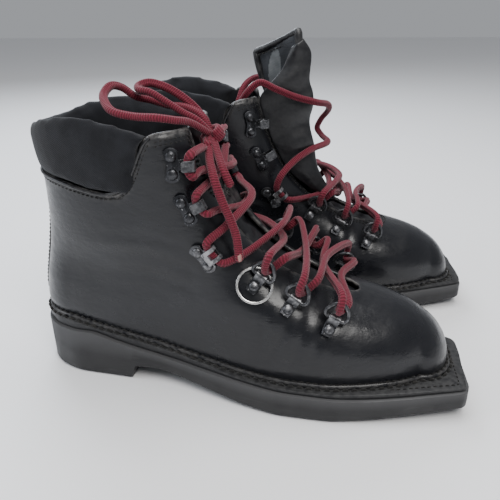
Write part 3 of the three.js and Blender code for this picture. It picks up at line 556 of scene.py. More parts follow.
LEFT_LACING = [
    (112, 20, 172), (117, 27, 186), (125, 31, 197), (133, 31, 202), (145, 31, 197), (162, 28, 190),
    (179, 23, 185), (190, 10, 181), (192, -2, 174), (187, -10, 165), (184, -14, 156), (188, -8, 150.5),
    (192, 6, 148), (176, 24, 145.5), (161, 37, 138.5), (150, 47, 128.5), (147, 47, 120.5), (147, 46, 117.5),
    (154, 44.5, 108.5), (157, 45, 107.5), (173, 32, 105), (188, 19, 105), (195, 3, 107), (196, -15, 110.5),
    (187, -44.5, 116), (184.5, -44.5, 108.5), (184, -39, 102.5), (189, -34, 104), (195, -33, 109.5),
    (208, 1, 107), (208.5, 41.5, 102), (206.5, 44, 96), (206.5, 38.5, 90), (211.5, 34, 91.5),
    (217.5, 33, 97), (220.5, 1.5, 99.5), (234, -41.5, 90.5), (233.5, -44.5, 84), (232.5, -39.5, 78),
    (238, -32, 80.5), (231, 1.5, 84), (239, 33, 81), (232.5, 40, 78), (233, 45, 84), (234, 42.5, 90.5),
    (218, 1.5, 93.5), (217, -33, 96), (211.5, -35, 90.5), (207, -40.5, 89.5), (207.5, -45, 96),
    (209.5, -41.5, 102), (205, 1, 100.5), (194.5, 35.5, 110.5), (188.5, 35, 105), (184, 39, 102),
    (183.5, 46, 106.5), (186, 48, 114), (200, 22, 118), (204, 2, 117.5), (196, -18, 119), (181, -37, 117),
    (168, -45, 110.5), (157, -45, 108.5), (154, -44.5, 109.5), (147, -45, 118.5), (147, -45.5, 122),
    (150, -50, 140), (155, -50, 158), (154, -46, 176), (144, -44, 191), (130, -38, 198), (118, -30, 192),
    (112, -24, 178)]
KNOT = (141, -5, 182)
LOOP_A = [KNOT, (131, -20, 193), (125, -30, 196), (116, -37, 198.5), (102, -38, 199), (89, -38, 201.5),
          (81, -31, 205), (76, -22, 209), (77, -12, 213), (81, -5, 211), (88, -1, 205), (98, 3, 202),
          (110, 3, 199),
          (122, 2, 198), (134, -1, 193), KNOT]
LOOP_B = [KNOT, (133, -9, 192), (123, -9, 197), (112, -9, 203.5), (102, -9, 209), (94, -7, 210),
          (91, 0, 211.5),
          (96, 5, 213), (107, 7, 210), (119, 8, 203), (129, 8, 194), KNOT]
TAIL_1 = [KNOT, (144, -22, 172.5), (151, -37, 162), (156, -39, 149), (161, -39, 137), (165, -40, 126),
          (167.5, -43, 111)]
TAIL_2 = [KNOT, (149.5, -21, 173), (155.5, -31, 166), (160, -32, 157)]
AGLET_LENGTH = 4.5


def leaning(made, start, end):
    """Bakes the placement of a piece of the left boot, between the boot and its raised tongue, into its mesh.
    """
    start, end = to_row([start, end], "left")
    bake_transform(made)


def lace(name, route, side, replaces=(), with_pieces=(), leans=()):
    """A braided cord swept along its route."""
    path = flow(route, LACE_STEP)
    points, faces = tube(path, LACE_SECTION)
    around = len(LACE_SECTION)
    run = run_of(path)
    run = np.concatenate([run[:1], run, run[-1:]])
    turn = np.abs(np.linspace(-BRAID_STRANDS / 2, BRAID_STRANDS / 2, around, endpoint=False))
    uv = np.stack([np.repeat(run / BRAID_PITCH, around), np.tile(turn, len(run))], -1)
    body = None if leans else side + "_boot"
    made = piece(name, points, faces, side, "lace", body, replaces, uv=uv)
    if leans:
        leaning(made, *leans)


def aglet(name, route):
    """The plastic tip of a lace end."""
    tip = flow(route, LACE_STEP)[-round(AGLET_LENGTH / LACE_STEP):]
    points, faces = tube(evenly(tip, 1.0), circle(2.7, 20, 0.85))
    return piece(name, points, faces, "right", "aglet", "right_boot", wear=np.full(len(points), 0.4))


def knot():
    """The bow's knot: a wrap of lace round the crossing, with the strands squeezed under it."""
    centre = np.array(KNOT, float)
    along = unit(np.array((-0.42, -0.42, 0.8)))
    across = unit(np.cross(along, (0, 1, 0)))
    front = np.cross(across, along)
    wrap = [centre + (6.6 * np.cos(t) * across + 5.4 * np.sin(t) * front) + (t / 6 - 1.2) * 3.2 * along
            for t in np.linspace(-0.6, 3.3 * np.pi, 30)]
    under = [centre + (-2.2 + 2.5 * t * t, 11 * t, -2.4 - 1.6 * t * t) for t in np.linspace(-1, 1, 9)]
    parts = [tube(flow(route, 1.0), LACE_SECTION) for route in (wrap, under)]
    points, faces = gather(parts)
    uv = np.stack([points @ (0.2, 0.25, 0.2), points @ (0.35, -0.1, 0.3)], -1)
    return piece("right_knot", points, faces, "right", "lace", "right_boot", uv=uv)


right_knot = knot()
lace("right_lace", RIGHT_LACING, "right", ["right_lacing"], [right_knot])
lace("left_lace", LEFT_LACING, "left", ["left_lacing"], leans=[(116, 0, 176), (129, 0, 195)])
lace("right_loop_1", LOOP_A, "right", ["right_lace_bow"])
lace("right_loop_2", LOOP_B, "right")
lace("right_tail_1", TAIL_1, "right", with_pieces=[aglet("right_aglet_1", TAIL_1)])
lace("right_tail_2", TAIL_2, "right")


# ---- Uppers ---------------------------------------------------------------------------------------
def clipped(points, faces, keep):
    """Cuts a mesh along keep = 0, drops the negative side, and says which points lie on the cut."""
    points, keep = [tuple(p) for p in points], list(keep)
    cut, kept = {}, []
    for face in faces:
        values = [keep[i] for i in face]
        if min(values) >= 0:
            kept.append(face)
        elif max(values) > 0:
            ring = []
            for a, b in zip(face, face[1:] + face[:1]):
                if keep[a] >= 0:
                    ring.append(a)
                if (keep[a] >= 0) != (keep[b] >= 0):
                    key = (min(a, b), max(a, b))
                    if key not in cut:
                        t = keep[a] / (keep[a] - keep[b])
                        cut[key] = len(points)
                        points.append(tuple(lerp(np.array(points[a]), np.array(points[b]), t)))
                    ring.append(cut[key])
            kept.append(ring)
    return np.array(points), kept, set(cut.values())


def tidied(points, faces):
    """Drops unused points and joins doubled ones."""
    mesh = bmesh.new()
    made = [mesh.verts.new(p) for p in points]
    for face in faces:
        try:
            mesh.faces.new([made[i] for i in dict.fromkeys(face)])
        except ValueError:
            pass
    bmesh.ops.delete(mesh, geom=[v for v in mesh.verts if not v.link_faces], context="VERTS")
    bmesh.ops.remove_doubles(mesh, verts=mesh.verts, dist=0.05)
    bmesh.ops.recalc_face_normals(mesh, faces=mesh.faces)
    mesh.verts.index_update()
    mesh.normal_update()
    points = np.array([v.co for v in mesh.verts])
    normals = np.array([v.normal for v in mesh.verts])
    faces = [[v.index for v in f.verts] for f in mesh.faces]
    rims = rim_lines(mesh)
    mesh.free()
    return points, normals, faces, rims


def rim_lines(mesh):
    """The open edges of a mesh, chained into lines of point numbers."""
    beside = {}
    for edge in mesh.edges:
        if len(edge.link_faces) == 1:
            a, b = (v.index for v in edge.verts)
            beside.setdefault(a, []).append(b)
            beside.setdefault(b, []).append(a)
    lines, seen = [], set()
    for start in sorted(beside, key=lambda v: len(beside[v])):
        if start in seen:
            continue
        line, at = [start], start
        seen.add(start)
        while True:
            onward = [v for v in beside[at] if v not in seen]
            if not onward:
                break
            at = onward[0]
            seen.add(at)
            line.append(at)
        if start in beside[line[-1]] and len(line) > 2:
            line.append(start)
        lines.append(line)
    return lines


throat_at = curves(THROAT)
FRONT_LINE = np.array([[f(t) for f in throat_at] for t in np.linspace(0, len(THROAT) - 1, 240)])


def throat_gap(points, widen, reach=24):
    """How far a point is from the throat's edge, negative between the facings."""
    away = np.hypot(points[:, None, 0] - FRONT_LINE[None, :, 0], points[:, None, 2] - FRONT_LINE[None, :, 1])
    near = away.argmin(1)
    half = FRONT_LINE[near, 2] + widen * np.minimum(1, FRONT_LINE[near, 2] / 12)
    gap = np.abs(points[:, 1] - middle_y(points[:, 0])) - half
    gap = np.where((near == 0) & (points[:, 0] > FRONT_LINE[0, 0]), 5, gap)
    return np.where(away.min(1) > reach, 30, gap)


def body_grid(along, across):
    """The upper's surface as a grid, shut at the toe."""
    place = np.linspace(0, len(FAN) - 1, along)
    half = 1 - np.linspace(0, 1, across // 2 + 1)
    turn = np.pi * np.concatenate([-half[::-1], half[1:]])
    turn = np.sign(turn) * np.clip(np.abs(turn), 0.004, np.pi - 1e-4)
    turn[across // 2] = -np.pi + 1e-4
    grid = surface(place[:, None] + 0 * turn, turn + 0 * place[:, None])
    middle = grid[-1].mean(0) + (0.5, 0, 0)
    tip = [middle + (grid[-1] - middle) * (s, s, s) + (0.5 * (1 - s) ** 0.5, 0, 0) for s in (0.7, 0.35, 0.02)]
    return np.concatenate([grid, tip])


INSIDE = (110, 0, 60)
FLEX_LINES = [(196, 5.2), (207, 6), (219, 5.5), (184, 4.4), (230, 4.2)]


def creased(points, normals):
    """Flex creases over the ball of the foot, and softer folds round the ankle."""
    x, y, z = points.T
    side = np.abs(y - middle_y(x))
    drop = np.zeros(len(points))
    for i, (at, width) in enumerate(FLEX_LINES):
        lean = at + (z - 55) * (0.42 - 0.1 * i) + 2.2 * np.sin(side / 9 + i * 1.7)
        reach = smooth(z, 30, 44) * (1 - smooth(z, 66, 82))
        drop += (1.15 - 0.12 * i) * np.exp(-((x - lean) / (width * 0.42)) ** 2) * reach
    for at, slope, depth in ((92, 0.5, 0.8), (108, 0.55, 1.0), (122, 0.5, 0.7)):
        lean = at + (x - 60) * -0.22 * slope + 2.5 * np.sin(x / 13)
        reach = smooth(x, 60, 88) * (1 - smooth(x, 128, 140)) * smooth(side, 14, 26)
        drop += depth * np.exp(-((z - lean) / 4.6) ** 2) * reach
    swell = 0.35 * np.sin(x / 17 + z / 23) * np.sin(z / 15 - x / 29)
    return points - normals * (drop - swell)[:, None] * smooth(z, 27, 40)[:, None]


def facing_out(points, normals, faces):
    """Turns a skin inside out if its normals point at its middle."""
    if np.mean(np.sum(normals * (points - INSIDE), 1)) < 0:
        return -normals, [f[::-1] for f in faces]
    return normals, faces


def stitches(line, normals, long, gap, radius, lift=0.1):
    """A row of raised stitches along a line, as one mesh."""
    line, normals = np.asarray(line, float), np.asarray(normals, float)
    run = run_of(line)
    parts = []
    for start in np.arange(gap / 2, run[-1] - long, long + gap):
        at = start + long * np.array([0.0, 0.18, 0.5, 0.82, 1.0])
        up = read_along(run, normals, at)
        rise = radius * np.array([-0.5, 0.35, 0.6, 0.35, -0.5]) + lift
        path = read_along(run, line, at) + up * rise[:, None]
        across = unit(np.cross(unit(path[-1] - path[0]), up[2]))
        turn = np.linspace(0, 2 * np.pi, 6, endpoint=False)
        girth = radius * np.array([0.55, 0.95, 1, 0.95, 0.55])
        rings = (path[:, None] + girth[:, None, None] * (np.cos(turn)[None, :, None] * across
                 + np.sin(turn)[None, :, None] * up[2]))
        parts.append(closed_skin(rings))
    return gather(parts)


body = body_grid(150, 120)
BODY_POINTS, BODY_NORMALS, BODY_FACES, _ = tidied(body.reshape(-1, 3), grid_faces(*body.shape[:2]))
BODY_NORMALS, BODY_FACES = facing_out(BODY_POINTS, BODY_NORMALS, BODY_FACES)
BODY_TREE = BVHTree.FromPolygons([tuple(p) for p in BODY_POINTS], BODY_FACES)


def on_body(point, heading):
    """Where a line from outside meets the upper's surface, and the surface's normal there."""
    place, normal, _, _ = BODY_TREE.ray_cast(Vector(point), Vector(heading).normalized())
    if place is None:
        place, normal, _, _ = BODY_TREE.find_nearest(Vector(point))
    return np.array(place), np.array(normal)


def beside_rim(points, normals, tree, away):
    """The line that runs at a distance from an edge of a skin, inside it and on its surface."""
    line, ups = [], []
    for p, n, t in zip(points, normals, headings(points)):
        best = None
        for sign in (1, -1):
            aim = p + sign * away * np.cross(n, t)
            near, up, _, far = tree.find_nearest(Vector(aim))
            if best is None or far < best[0]:
                best = (far, near, up)
        line.append(np.array(best[1]))
        ups.append(np.array(best[2]))
    return evened(np.array(line), np.array(ups))


def evened(line, ups, width=5):
    """Takes the jitter out of a line and its normals."""
    kernel = np.ones(width) / width

    def soft(values):
        padded = np.vstack([values[:1]] * (width // 2) + [values] + [values[-1:]] * (width // 2))
        return np.stack([np.convolve(padded[:, k], kernel, "valid") for k in range(3)], -1)

    line, ups = soft(line), soft(ups)
    return line, ups / np.maximum(np.linalg.norm(ups, axis=1), 1e-6)[:, None]


def opened(holds, *lines):
    """The stretch of each closed line where holds is true, in one run."""
    start = int(np.argmin(holds))
    holds = np.roll(holds, -start)
    return [np.roll(line, -start, 0)[holds] for line in lines]


BODY_STITCH = (2.3, 1.0, 0.42)  # length, gap and radius


def upper(side, widen):
    """The leather upper with its rolled edges and rows of stitching."""
    points, faces, _ = clipped(BODY_POINTS, BODY_FACES, facing_z(BODY_POINTS[:, 0]) - BODY_POINTS[:, 2])
    points, faces, _ = clipped(points, faces, throat_gap(points, widen))
    points, normals, faces, rims = tidied(points, faces)
    normals, faces = facing_out(points, normals, faces)
    tree = BVHTree.FromPolygons([tuple(p) for p in points], faces)
    rims = [r for r in rims if points[r][:, 2].max() > 150]
    edge, ups = evened(points[rims[0]], normals[rims[0]], 3)
    shaped = creased(points, normals)
    gap = np.minimum(throat_gap(shaped, widen), facing_z(shaped[:, 0]) - shaped[:, 2])
    wear = np.maximum(0.75 * np.exp(-np.abs(gap) / 1.6), 0.16 * smooth(shaped[:, 0], 292, 309))
    made = piece(side + "_upper_leather", shaped, faces, side, "leather", side + "_boot",
                 [side + "_upper"], wear=wear)
    modify(made, "SOLIDIFY", thickness=LEATHER * MM, offset=-1)
    edge, ups = opened(edge[:, 2] > 60, edge, ups)
    roll_points, roll_faces = tube(evenly(edge - ups * 1.25, 1.5), circle(1.5, 10))
    piece(side + "_facing_edge", roll_points, roll_faces, side, "leather", side + "_boot",
          wear=np.full(len(roll_points), 0.75))
    rows = []
    on_facing = edge[:, 0] > 111
    for where, away in ((on_facing, 3.4), (on_facing, 6.0), (~on_facing, 2.6)):
        rows.append(stitches(*beside_rim(edge[where], ups[where], tree, away), *BODY_STITCH))
    for across in (-7.6, 7.6):
        spots = [on_body((-30, across, z), (1, 0, 0)) for z in np.arange(60, 153, 1.5)]
        rows.append(stitches([p + 1.75 * n for p, n in spots], [n for _, n in spots], *BODY_STITCH))
    points, faces = gather(rows)
    piece(side + "_upper_stitching", points, faces, side, "thread", side + "_boot")


def lining(side, widen):
    """The soft leather that lines the upper."""
    points = BODY_POINTS - BODY_NORMALS * 5.2
    points, faces, _ = clipped(points, BODY_FACES, 186 - points[:, 2])
    points, faces, _ = clipped(points, faces, throat_gap(points, widen + 1.5, 30))
    points, normals, faces, _ = tidied(points, faces)
    normals, faces = facing_out(points, normals, faces)
    piece(side + "_lining", points, faces, side, "tongue_leather", side + "_boot")


def backstay(side):
    """The strip over the back seam."""
    rows = []
    for z in np.arange(57, 156.5, 2.0):
        row = []
        for y in np.linspace(-9, 9, 11):
            place, normal = on_body((-30, y, z), (1, 0, 0))
            row.append(place + (1.7 - 0.9 * (abs(y) / 9) ** 6) * normal)
        rows.append(row)
    grid = np.array(rows)
    faces = [f[::-1] for f in grid_faces(*grid.shape[:2])]
    edge = np.tile(np.abs(np.linspace(-1, 1, 11)) ** 4, len(rows))
    made = piece(side + "_backstay_strip", grid.reshape(-1, 3), faces, side, "leather", side + "_boot",
                 [side + "_backstay"], wear=0.6 * edge)
    modify(made, "SOLIDIFY", thickness=1.3 * MM, offset=0)


# ---- Padded pieces ---------------------------------------------------------------------------------
def evaluated_mesh(obj):
    return bpy.data.meshes.new_from_object(obj.evaluated_get(bpy.context.evaluated_depsgraph_get()))


def take_mesh(obj, mesh):
    """Gives an object a finished mesh in place of its own and its modifiers."""
    mesh.materials.clear()
    for material in obj.data.materials:
        mesh.materials.append(material)
    obj.modifiers.clear()
    obj.data = mesh
    mesh.polygons.foreach_set("use_smooth", [True] * len(mesh.polygons))


def settled(obj, kind, **settings):
    """Adds a modifier and applies it."""
    modify(obj, kind, **settings)
    take_mesh(obj, evaluated_mesh(obj))


def coordinates(mesh):
    co = np.empty(len(mesh.vertices) * 3)
    mesh.vertices.foreach_get("co", co)
    return co.reshape(-1, 3)


CLOTH_STEPS = 20


def puffed(obj, voxel, cap, pressure=4.0):
    """Remeshes a padded piece, blows it up as cloth, and keeps every point near where it started."""
    settled(obj, "REMESH", mode="VOXEL", voxel_size=voxel * MM)
    start = coordinates(obj.data)
    cloth = modify(obj, "CLOTH")
    cloth.settings.use_pressure = True
    cloth.settings.uniform_pressure_force = pressure
    cloth.settings.effector_weights.gravity = 0
    for step in range(1, CLOTH_STEPS + 1):
        bpy.context.scene.frame_set(step)
    made = evaluated_mesh(obj)
    bpy.context.scene.frame_set(1)
    shift = coordinates(made) - start
    far = np.linalg.norm(shift, axis=1)
    shift *= np.minimum(1, cap * MM / np.maximum(far, 1e-9))[:, None]
    made.vertices.foreach_set("co", (start + shift).ravel())
    take_mesh(obj, made)
    settled(obj, "SUBSURF", levels=1, render_levels=1)


COLLAR_RING = [(0.3, 0.0), (1.5, 0.1), (2.3, 0.3), (2.4, 0.6), (1.9, 0.85), (0.2, 0.98), (-2.6, 1.0),
               (-5.4, 0.97), (-7.4, 0.84), (-8.0, 0.6), (-7.8, 0.3), (-6.6, 0.06), (-3.5, 0.0)]
COLLAR_FROM = math.radians(65)
COLLAR_LEVEL = 175.0
SHAFT_MIDDLE = 72


def shaft_point(turn, z):
    """A point of the shaft at a height, with turn going round from the front."""
    back, front = back_x(z), front_x(z)
    power = SHAFT_FRONT if math.cos(turn) > 0 else SHAFT_BACK
    ahead, across = (math.copysign(abs(part) ** (2 / power), part)
                     for part in (math.cos(turn), math.sin(turn)))
    return np.array([(back + front) / 2 + (front - back) / 2 * ahead, -shaft_width(z) * across, z])


def collar(side):
    """The padded collar and the piping along its seam."""
    rings = []
    for turn in np.linspace(COLLAR_FROM, 2 * np.pi - COLLAR_FROM, 90):
        x = shaft_point(turn, COLLAR_LEVEL)[0]
        low, high = seam_z(x) + 0.6, max(collar_z(x), seam_z(x) + 2.2)
        ring = []
        for out, rise in COLLAR_RING:
            z = lerp(low, high, rise)
            here = shaft_point(turn, z)
            along = shaft_point(turn + 0.02, z) - shaft_point(turn - 0.02, z)
            normal = unit(np.array([along[1], -along[0], 0]))
            if np.dot(normal[:2], here[:2] - (SHAFT_MIDDLE, 0)) < 0:
                normal = -normal
            ring.append(here + out * normal)
        rings.append(ring)
    points, faces = closed_skin(rings)
    made = piece(side + "_collar_pad", points, faces, side, "collar", side + "_boot",
                 [side + "_collar"])
    puffed(made, 3.6, 1.8, 5.0)
    spots = []
    for turn in np.linspace(COLLAR_FROM + 0.05, 2 * np.pi - COLLAR_FROM - 0.05, 160):
        x, y, _ = shaft_point(turn, COLLAR_LEVEL)
        outside = (x + (x - SHAFT_MIDDLE) * 0.5, y * 1.5, seam_z(x) + 0.5)
        spots.append(on_body(outside, (SHAFT_MIDDLE - x, -y, 0)))
    seam, ups = evened(np.array([s[0] for s in spots]), np.array([s[1] for s in spots]))
    points, faces = tube(evenly(seam + 0.5 * ups, 1.5), circle(1.1, 8))
    piece(side + "_collar_piping", points, faces, side, "leather", side + "_boot",
          wear=np.full(len(points), 0.2))


def closed_tongue(side):
    """The bellows tongue under the laces: a padded middle with a fold at each side."""
    rows = []
    line = FRONT_LINE[4:-16:4]
    for i, (x, z, half) in enumerate(line):
        nxt = line[min(i + 1, len(line) - 1)] - line[max(i - 1, 0)]
        out = np.array([nxt[1], 0, -nxt[0]]) / math.hypot(nxt[0], nxt[1])
        top, under = [], []
        for s in np.linspace(-1, 1, 15):
            reach = half + 7
            y = middle_y(x) + s * reach
            place, normal = on_body(np.array([x, y, z]) + 24 * out, -out)
            fold = 1.6 * math.exp(-((abs(s) - 0.66) / 0.09) ** 2)
            rise = 1.4 * (1 - (s / 0.6) ** 2) if abs(s) < 0.6 else 0
            top.append(place + (rise - 4.2 - fold) * normal)
            under.append(place + (-7.6 - fold) * normal)
        rows.append(top + under[::-1])
    points, faces = closed_skin(rows)
    made = piece(side + "_tongue_pad", points, faces, side, "tongue_leather", side + "_boot",
                 [side + "_tongue"])
    puffed(made, 2.6, 1.2)


RAISED = [(224, 1, 70, 9, 0, 1), (211, 1, 78, 9.5, 0, 1), (198, 1, 90, 11, 0, 2), (184, 0, 108, 12, 5, 3),
          (178, -4, 128, 16, 12, 5), (171, -8, 150, 20, 22, 6), (163, -3, 175, 20, 30, 5),
          (155, -3, 200, 22, 41, 4), (152, -4, 220, 24, 46, 4), (150, -4, 231, 24, 46, 3)]
RAISED_PEAK = 9
PANEL_ENDS = ((6.7, -0.45), (8.5, -0.05))  # the oval panel of pale lining, as its two foci
PANEL_SPAN = 38
raised_at = curves(RAISED)


def raised_point(at, across, depth):
    """A point of the pulled-up tongue: at counts its sections, across is -1 to 1, depth goes to the front."""
    last = len(RAISED) - 1
    x, y, z, half, turn, sweep = (float(f(at)) for f in raised_at)
    before, after = ([float(f(np.clip(at + d, 0, last))) for f in raised_at] for d in (-0.5, 0.5))
    yaw = Matrix.Rotation(math.radians(-turn), 3, "Z")
    out = yaw @ Vector((after[2] - before[2], 0, before[0] - after[0])).normalized()
    point = yaw @ Vector((-sweep * across * across, across * half, 0))
    point += Vector((x, y, z + RAISED_PEAK * across * (at / last) ** 4))
    return np.array(point + float(depth) * out), np.array(out)


def raised_tongue():
    """The left boot's tongue, pulled up: padded, lined, bound and stitched."""
    last = len(RAISED) - 1
    rows, outs, centres = [], [], []
    for at in np.linspace(0.6, last, 44):
        across = np.linspace(-1, 1, 13)
        thick = 2.4 + 2.6 * smooth(at, 1, 3)
        front = [raised_point(at, s, -0.6 - 0.8 * s * s)[0] for s in across]
        back = [raised_point(at, s, -0.6 - thick + 0.8 * s * s)[0] for s in across]
        rows.append(back[::-1] + front)
        outs.append(raised_point(at, 0, 0)[1])
        centres.append(raised_point(at, 0, -3)[0])
    points, faces = closed_skin(rows)
    made = piece("left_tongue_pad", points, faces, "left", "tongue", "left_tongue", ["left_tongue"])
    made.data.materials.append(LOOKS["tongue_leather"])
    made.data.materials.append(LOOKS["panel"])
    puffed(made, 2.8, 1.6)
    row_outs = to_row(outs, "left") - to_row(np.zeros((1, 3)), "left")
    row_centres = to_row(centres, "left")
    panel = to_row([raised_point(at, s, -5)[0] for at, s in PANEL_ENDS], "left")
    for polygon in made.data.polygons:
        near = int(np.argmin(np.linalg.norm(row_centres - np.array(polygon.center), axis=1)))
        if np.dot(row_outs[near], polygon.normal) > 0:
            polygon.material_index = 1
        elif np.linalg.norm(panel - np.array(polygon.center), axis=1).sum() < PANEL_SPAN * MM:
            polygon.material_index = 2
    edge = [raised_point(at, -1, -3)[0] for at in np.linspace(2.5, last, 30)]
    edge += [raised_point(last, s, -3)[0] + (0, 0, 0.3) for s in np.linspace(-0.93, 0.93, 16)]
    edge += [raised_point(at, 1, -3)[0] for at in np.linspace(last, 2.5, 30)]
    points, faces = tube(evenly(edge, 1.8), circle(3.4, 14, 0.85))
    piece("left_tongue_binding", points, faces, "left", "tongue_leather", "left_tongue",
          wear=np.full(len(points), 0.35))
    hem = [raised_point(last - 0.42, s, -6.1) for s in np.linspace(-0.85, 0.85, 40)]
    points, faces = stitches([p for p, _ in hem], [-out for _, out in hem], 2.6, 1.3, 0.5)
    piece("left_tongue_stitching", points, faces, "left", "thread", "left_tongue")


GUSSET = [  # the tongue's section, its bulge and where it meets the facing
    (2.2, (200, 13, 97), (192, 18, 101)), (2.9, (193, 18, 110), (177, 24, 111)),
    (3.9, (181.5, 19, 134), (158, 26, 127)), (4.9, (177, 19, 152), (148, 25, 143)),
    (5.6, (175.5, 18, 170), (141, 25, 157)), (6.4, (177, 17, 188), (136, 25, 172)),
    (7.1, (175, 17, 204), (132, 25, 188)), (8.2, (173, 18, 222), (150, 19, 210)),
    (8.8, (167, 18, 233), (158, 18, 228))]


def gusset():
    """The bellows leather between the raised tongue's inner edge and the facing."""
    rows = []
    tongue_at = through([(i, g[0]) for i, g in enumerate(GUSSET)])
    bulge_at, facing_at = (curves([g[k] for g in GUSSET]) for k in (1, 2))
    for at in np.linspace(0, len(GUSSET) - 1, 48):
        start = raised_point(float(tongue_at(at)), 0.96, -2.5)[0]
        bulge = np.array([float(f(at)) for f in bulge_at])
        end = np.array([float(f(at)) for f in facing_at])
        bulge = bulge + (1.2 * math.sin(at * 2.9), 1.2 * math.sin(at * 4.1 + 1), 0)
        near, far = lerp(start, bulge, 0.62) + (2, -1.5, 0), lerp(bulge, end, 0.45) + (0, 3.5, 0)
        row = flow([start, near, bulge, far, end], 0.5)
        rows.append(row[np.linspace(0, len(row) - 1, 20).round().astype(int)])
    grid = np.array(rows)
    made = piece("left_gusset", grid.reshape(-1, 3), grid_faces(*grid.shape[:2]), "left", "tongue_leather",
                 None, wear=np.full(grid.size // 3, 0.1))
    modify(made, "SOLIDIFY", thickness=1.4 * MM, offset=0)
    settled(made, "SUBSURF", levels=1, render_levels=1)
    leaning(made, (196, 10, 92), (184, 0, 120))


def throat_base():
    """The soft leather that closes the foot of the open throat, under the raised tongue."""
    rows = []
    for x, z, half in FRONT_LINE[2:112:4]:
        row = []
        for s in np.linspace(-1, 1, 15):
            y = middle_y(x) + s * (half + 10)
            place, normal = on_body((x + 12, y, z + 21), (-12, 0, -21))
            row.append(place - (4.6 + 1.2 * math.cos(s * 9)) * normal)
        rows.append(row)
    grid = np.array(rows)
    made = piece("left_throat_base", grid.reshape(-1, 3), grid_faces(*grid.shape[:2]), "left",
                 "tongue_leather", "left_boot")
    modify(made, "SOLIDIFY", thickness=1.6 * MM, offset=0)


# ---- Soles ----------------------------------------------------------------------------------------
SOLE_LENGTH = 323
SOLE_STATIONS = np.unique(np.concatenate([
    48 * np.linspace(0.04, 1, 26) ** 2, np.linspace(48, 79, 12), [79.5, 81, 82.5, 84],
    np.linspace(86, 312, 90), np.linspace(313, 322.9, 24)]))


def slab(low, high, inset, top_edge, bottom_edge):
    """A sole layer between two height curves, with its edges eased."""
    rings = []
    for x in SOLE_STATIONS:
        at = min(max(x, inset * 1.05), SOLE_LENGTH - inset)
        left, right = -float(lateral_edge(at)), float(medial_edge(at))
        pull = min(inset, 0.47 * (right - left))
        left, right = left + pull, right - pull
        room = 0.45 * (right - left)
        a, b = min(top_edge, room), min(bottom_edge, room)
        z0, z1 = float(low(at)), float(high(at))
        middle, third, far = lerp(z0 + b, z1 - a, 0.5), lerp(left, right, 0.35), lerp(left, right, 0.65)
        section = [(left, z0 + b), (left, middle), (left, z1 - a), (left + 0.3 * a, z1 - 0.3 * a),
                   (left + a, z1), (third, z1), (far, z1), (right - a, z1),
                   (right - 0.3 * a, z1 - 0.3 * a), (right, z1 - a),
                   (right, middle), (right, z0 + b), (right - b, z0), (far, z0), (third, z0), (left + b, z0)]
        rings.append([(at, y, z) for y, z in section])
    return closed_skin(rings)


def pushed_out(loop, out):
    """A closed line in plan, moved outwards."""
    ahead = np.roll(loop, -1, 0) - np.roll(loop, 1, 0)
    ahead /= np.maximum(np.linalg.norm(ahead, axis=1), 1e-6)[:, None]
    return loop - out * np.stack([-ahead[:, 1], ahead[:, 0]], -1)


def plan_loop(line):
    """A closed line in plan at an even step, without its doubled last point."""
    return evenly(np.column_stack([line, np.zeros(len(line))]), 2.0)[:-1, :2]


def bunched(low, high, count):
    """Stations from low to high that crowd together towards both ends."""
    return low + (high - low) * (1 - np.cos(np.linspace(0, np.pi, count))) / 2


def sole_line(inset):
    """The sole's plan as a closed line, pulled in from its edge."""
    x = bunched(0, SOLE_LENGTH, 210)
    out = np.concatenate([np.stack([x, -lateral_edge(x)], -1), np.stack([x, medial_edge(x)], -1)[::-1]])
    return pushed_out(plan_loop(out), -inset)


def foot_line(out, lift):
    """The line where the upper meets the welt, moved outwards by out."""
    x = bunched(2.8, 309.2, 200)[1:-1]
    z = np.maximum(feather_z(x), 0) + 0.5
    outer, inner = (np.stack([x, middle_y(x) + sign * half_width(x, z, sign)], -1) for sign in (-1, 1))
    loop = pushed_out(plan_loop(np.concatenate([outer, inner[::-1], outer[:1]])), out)
    return np.column_stack([loop, welt_top(loop[:, 0]) + lift])


PIN_HOLES = ((305, -17.5), (311, 3), (305, 23.5))
PIN_RADIUS = 2.4


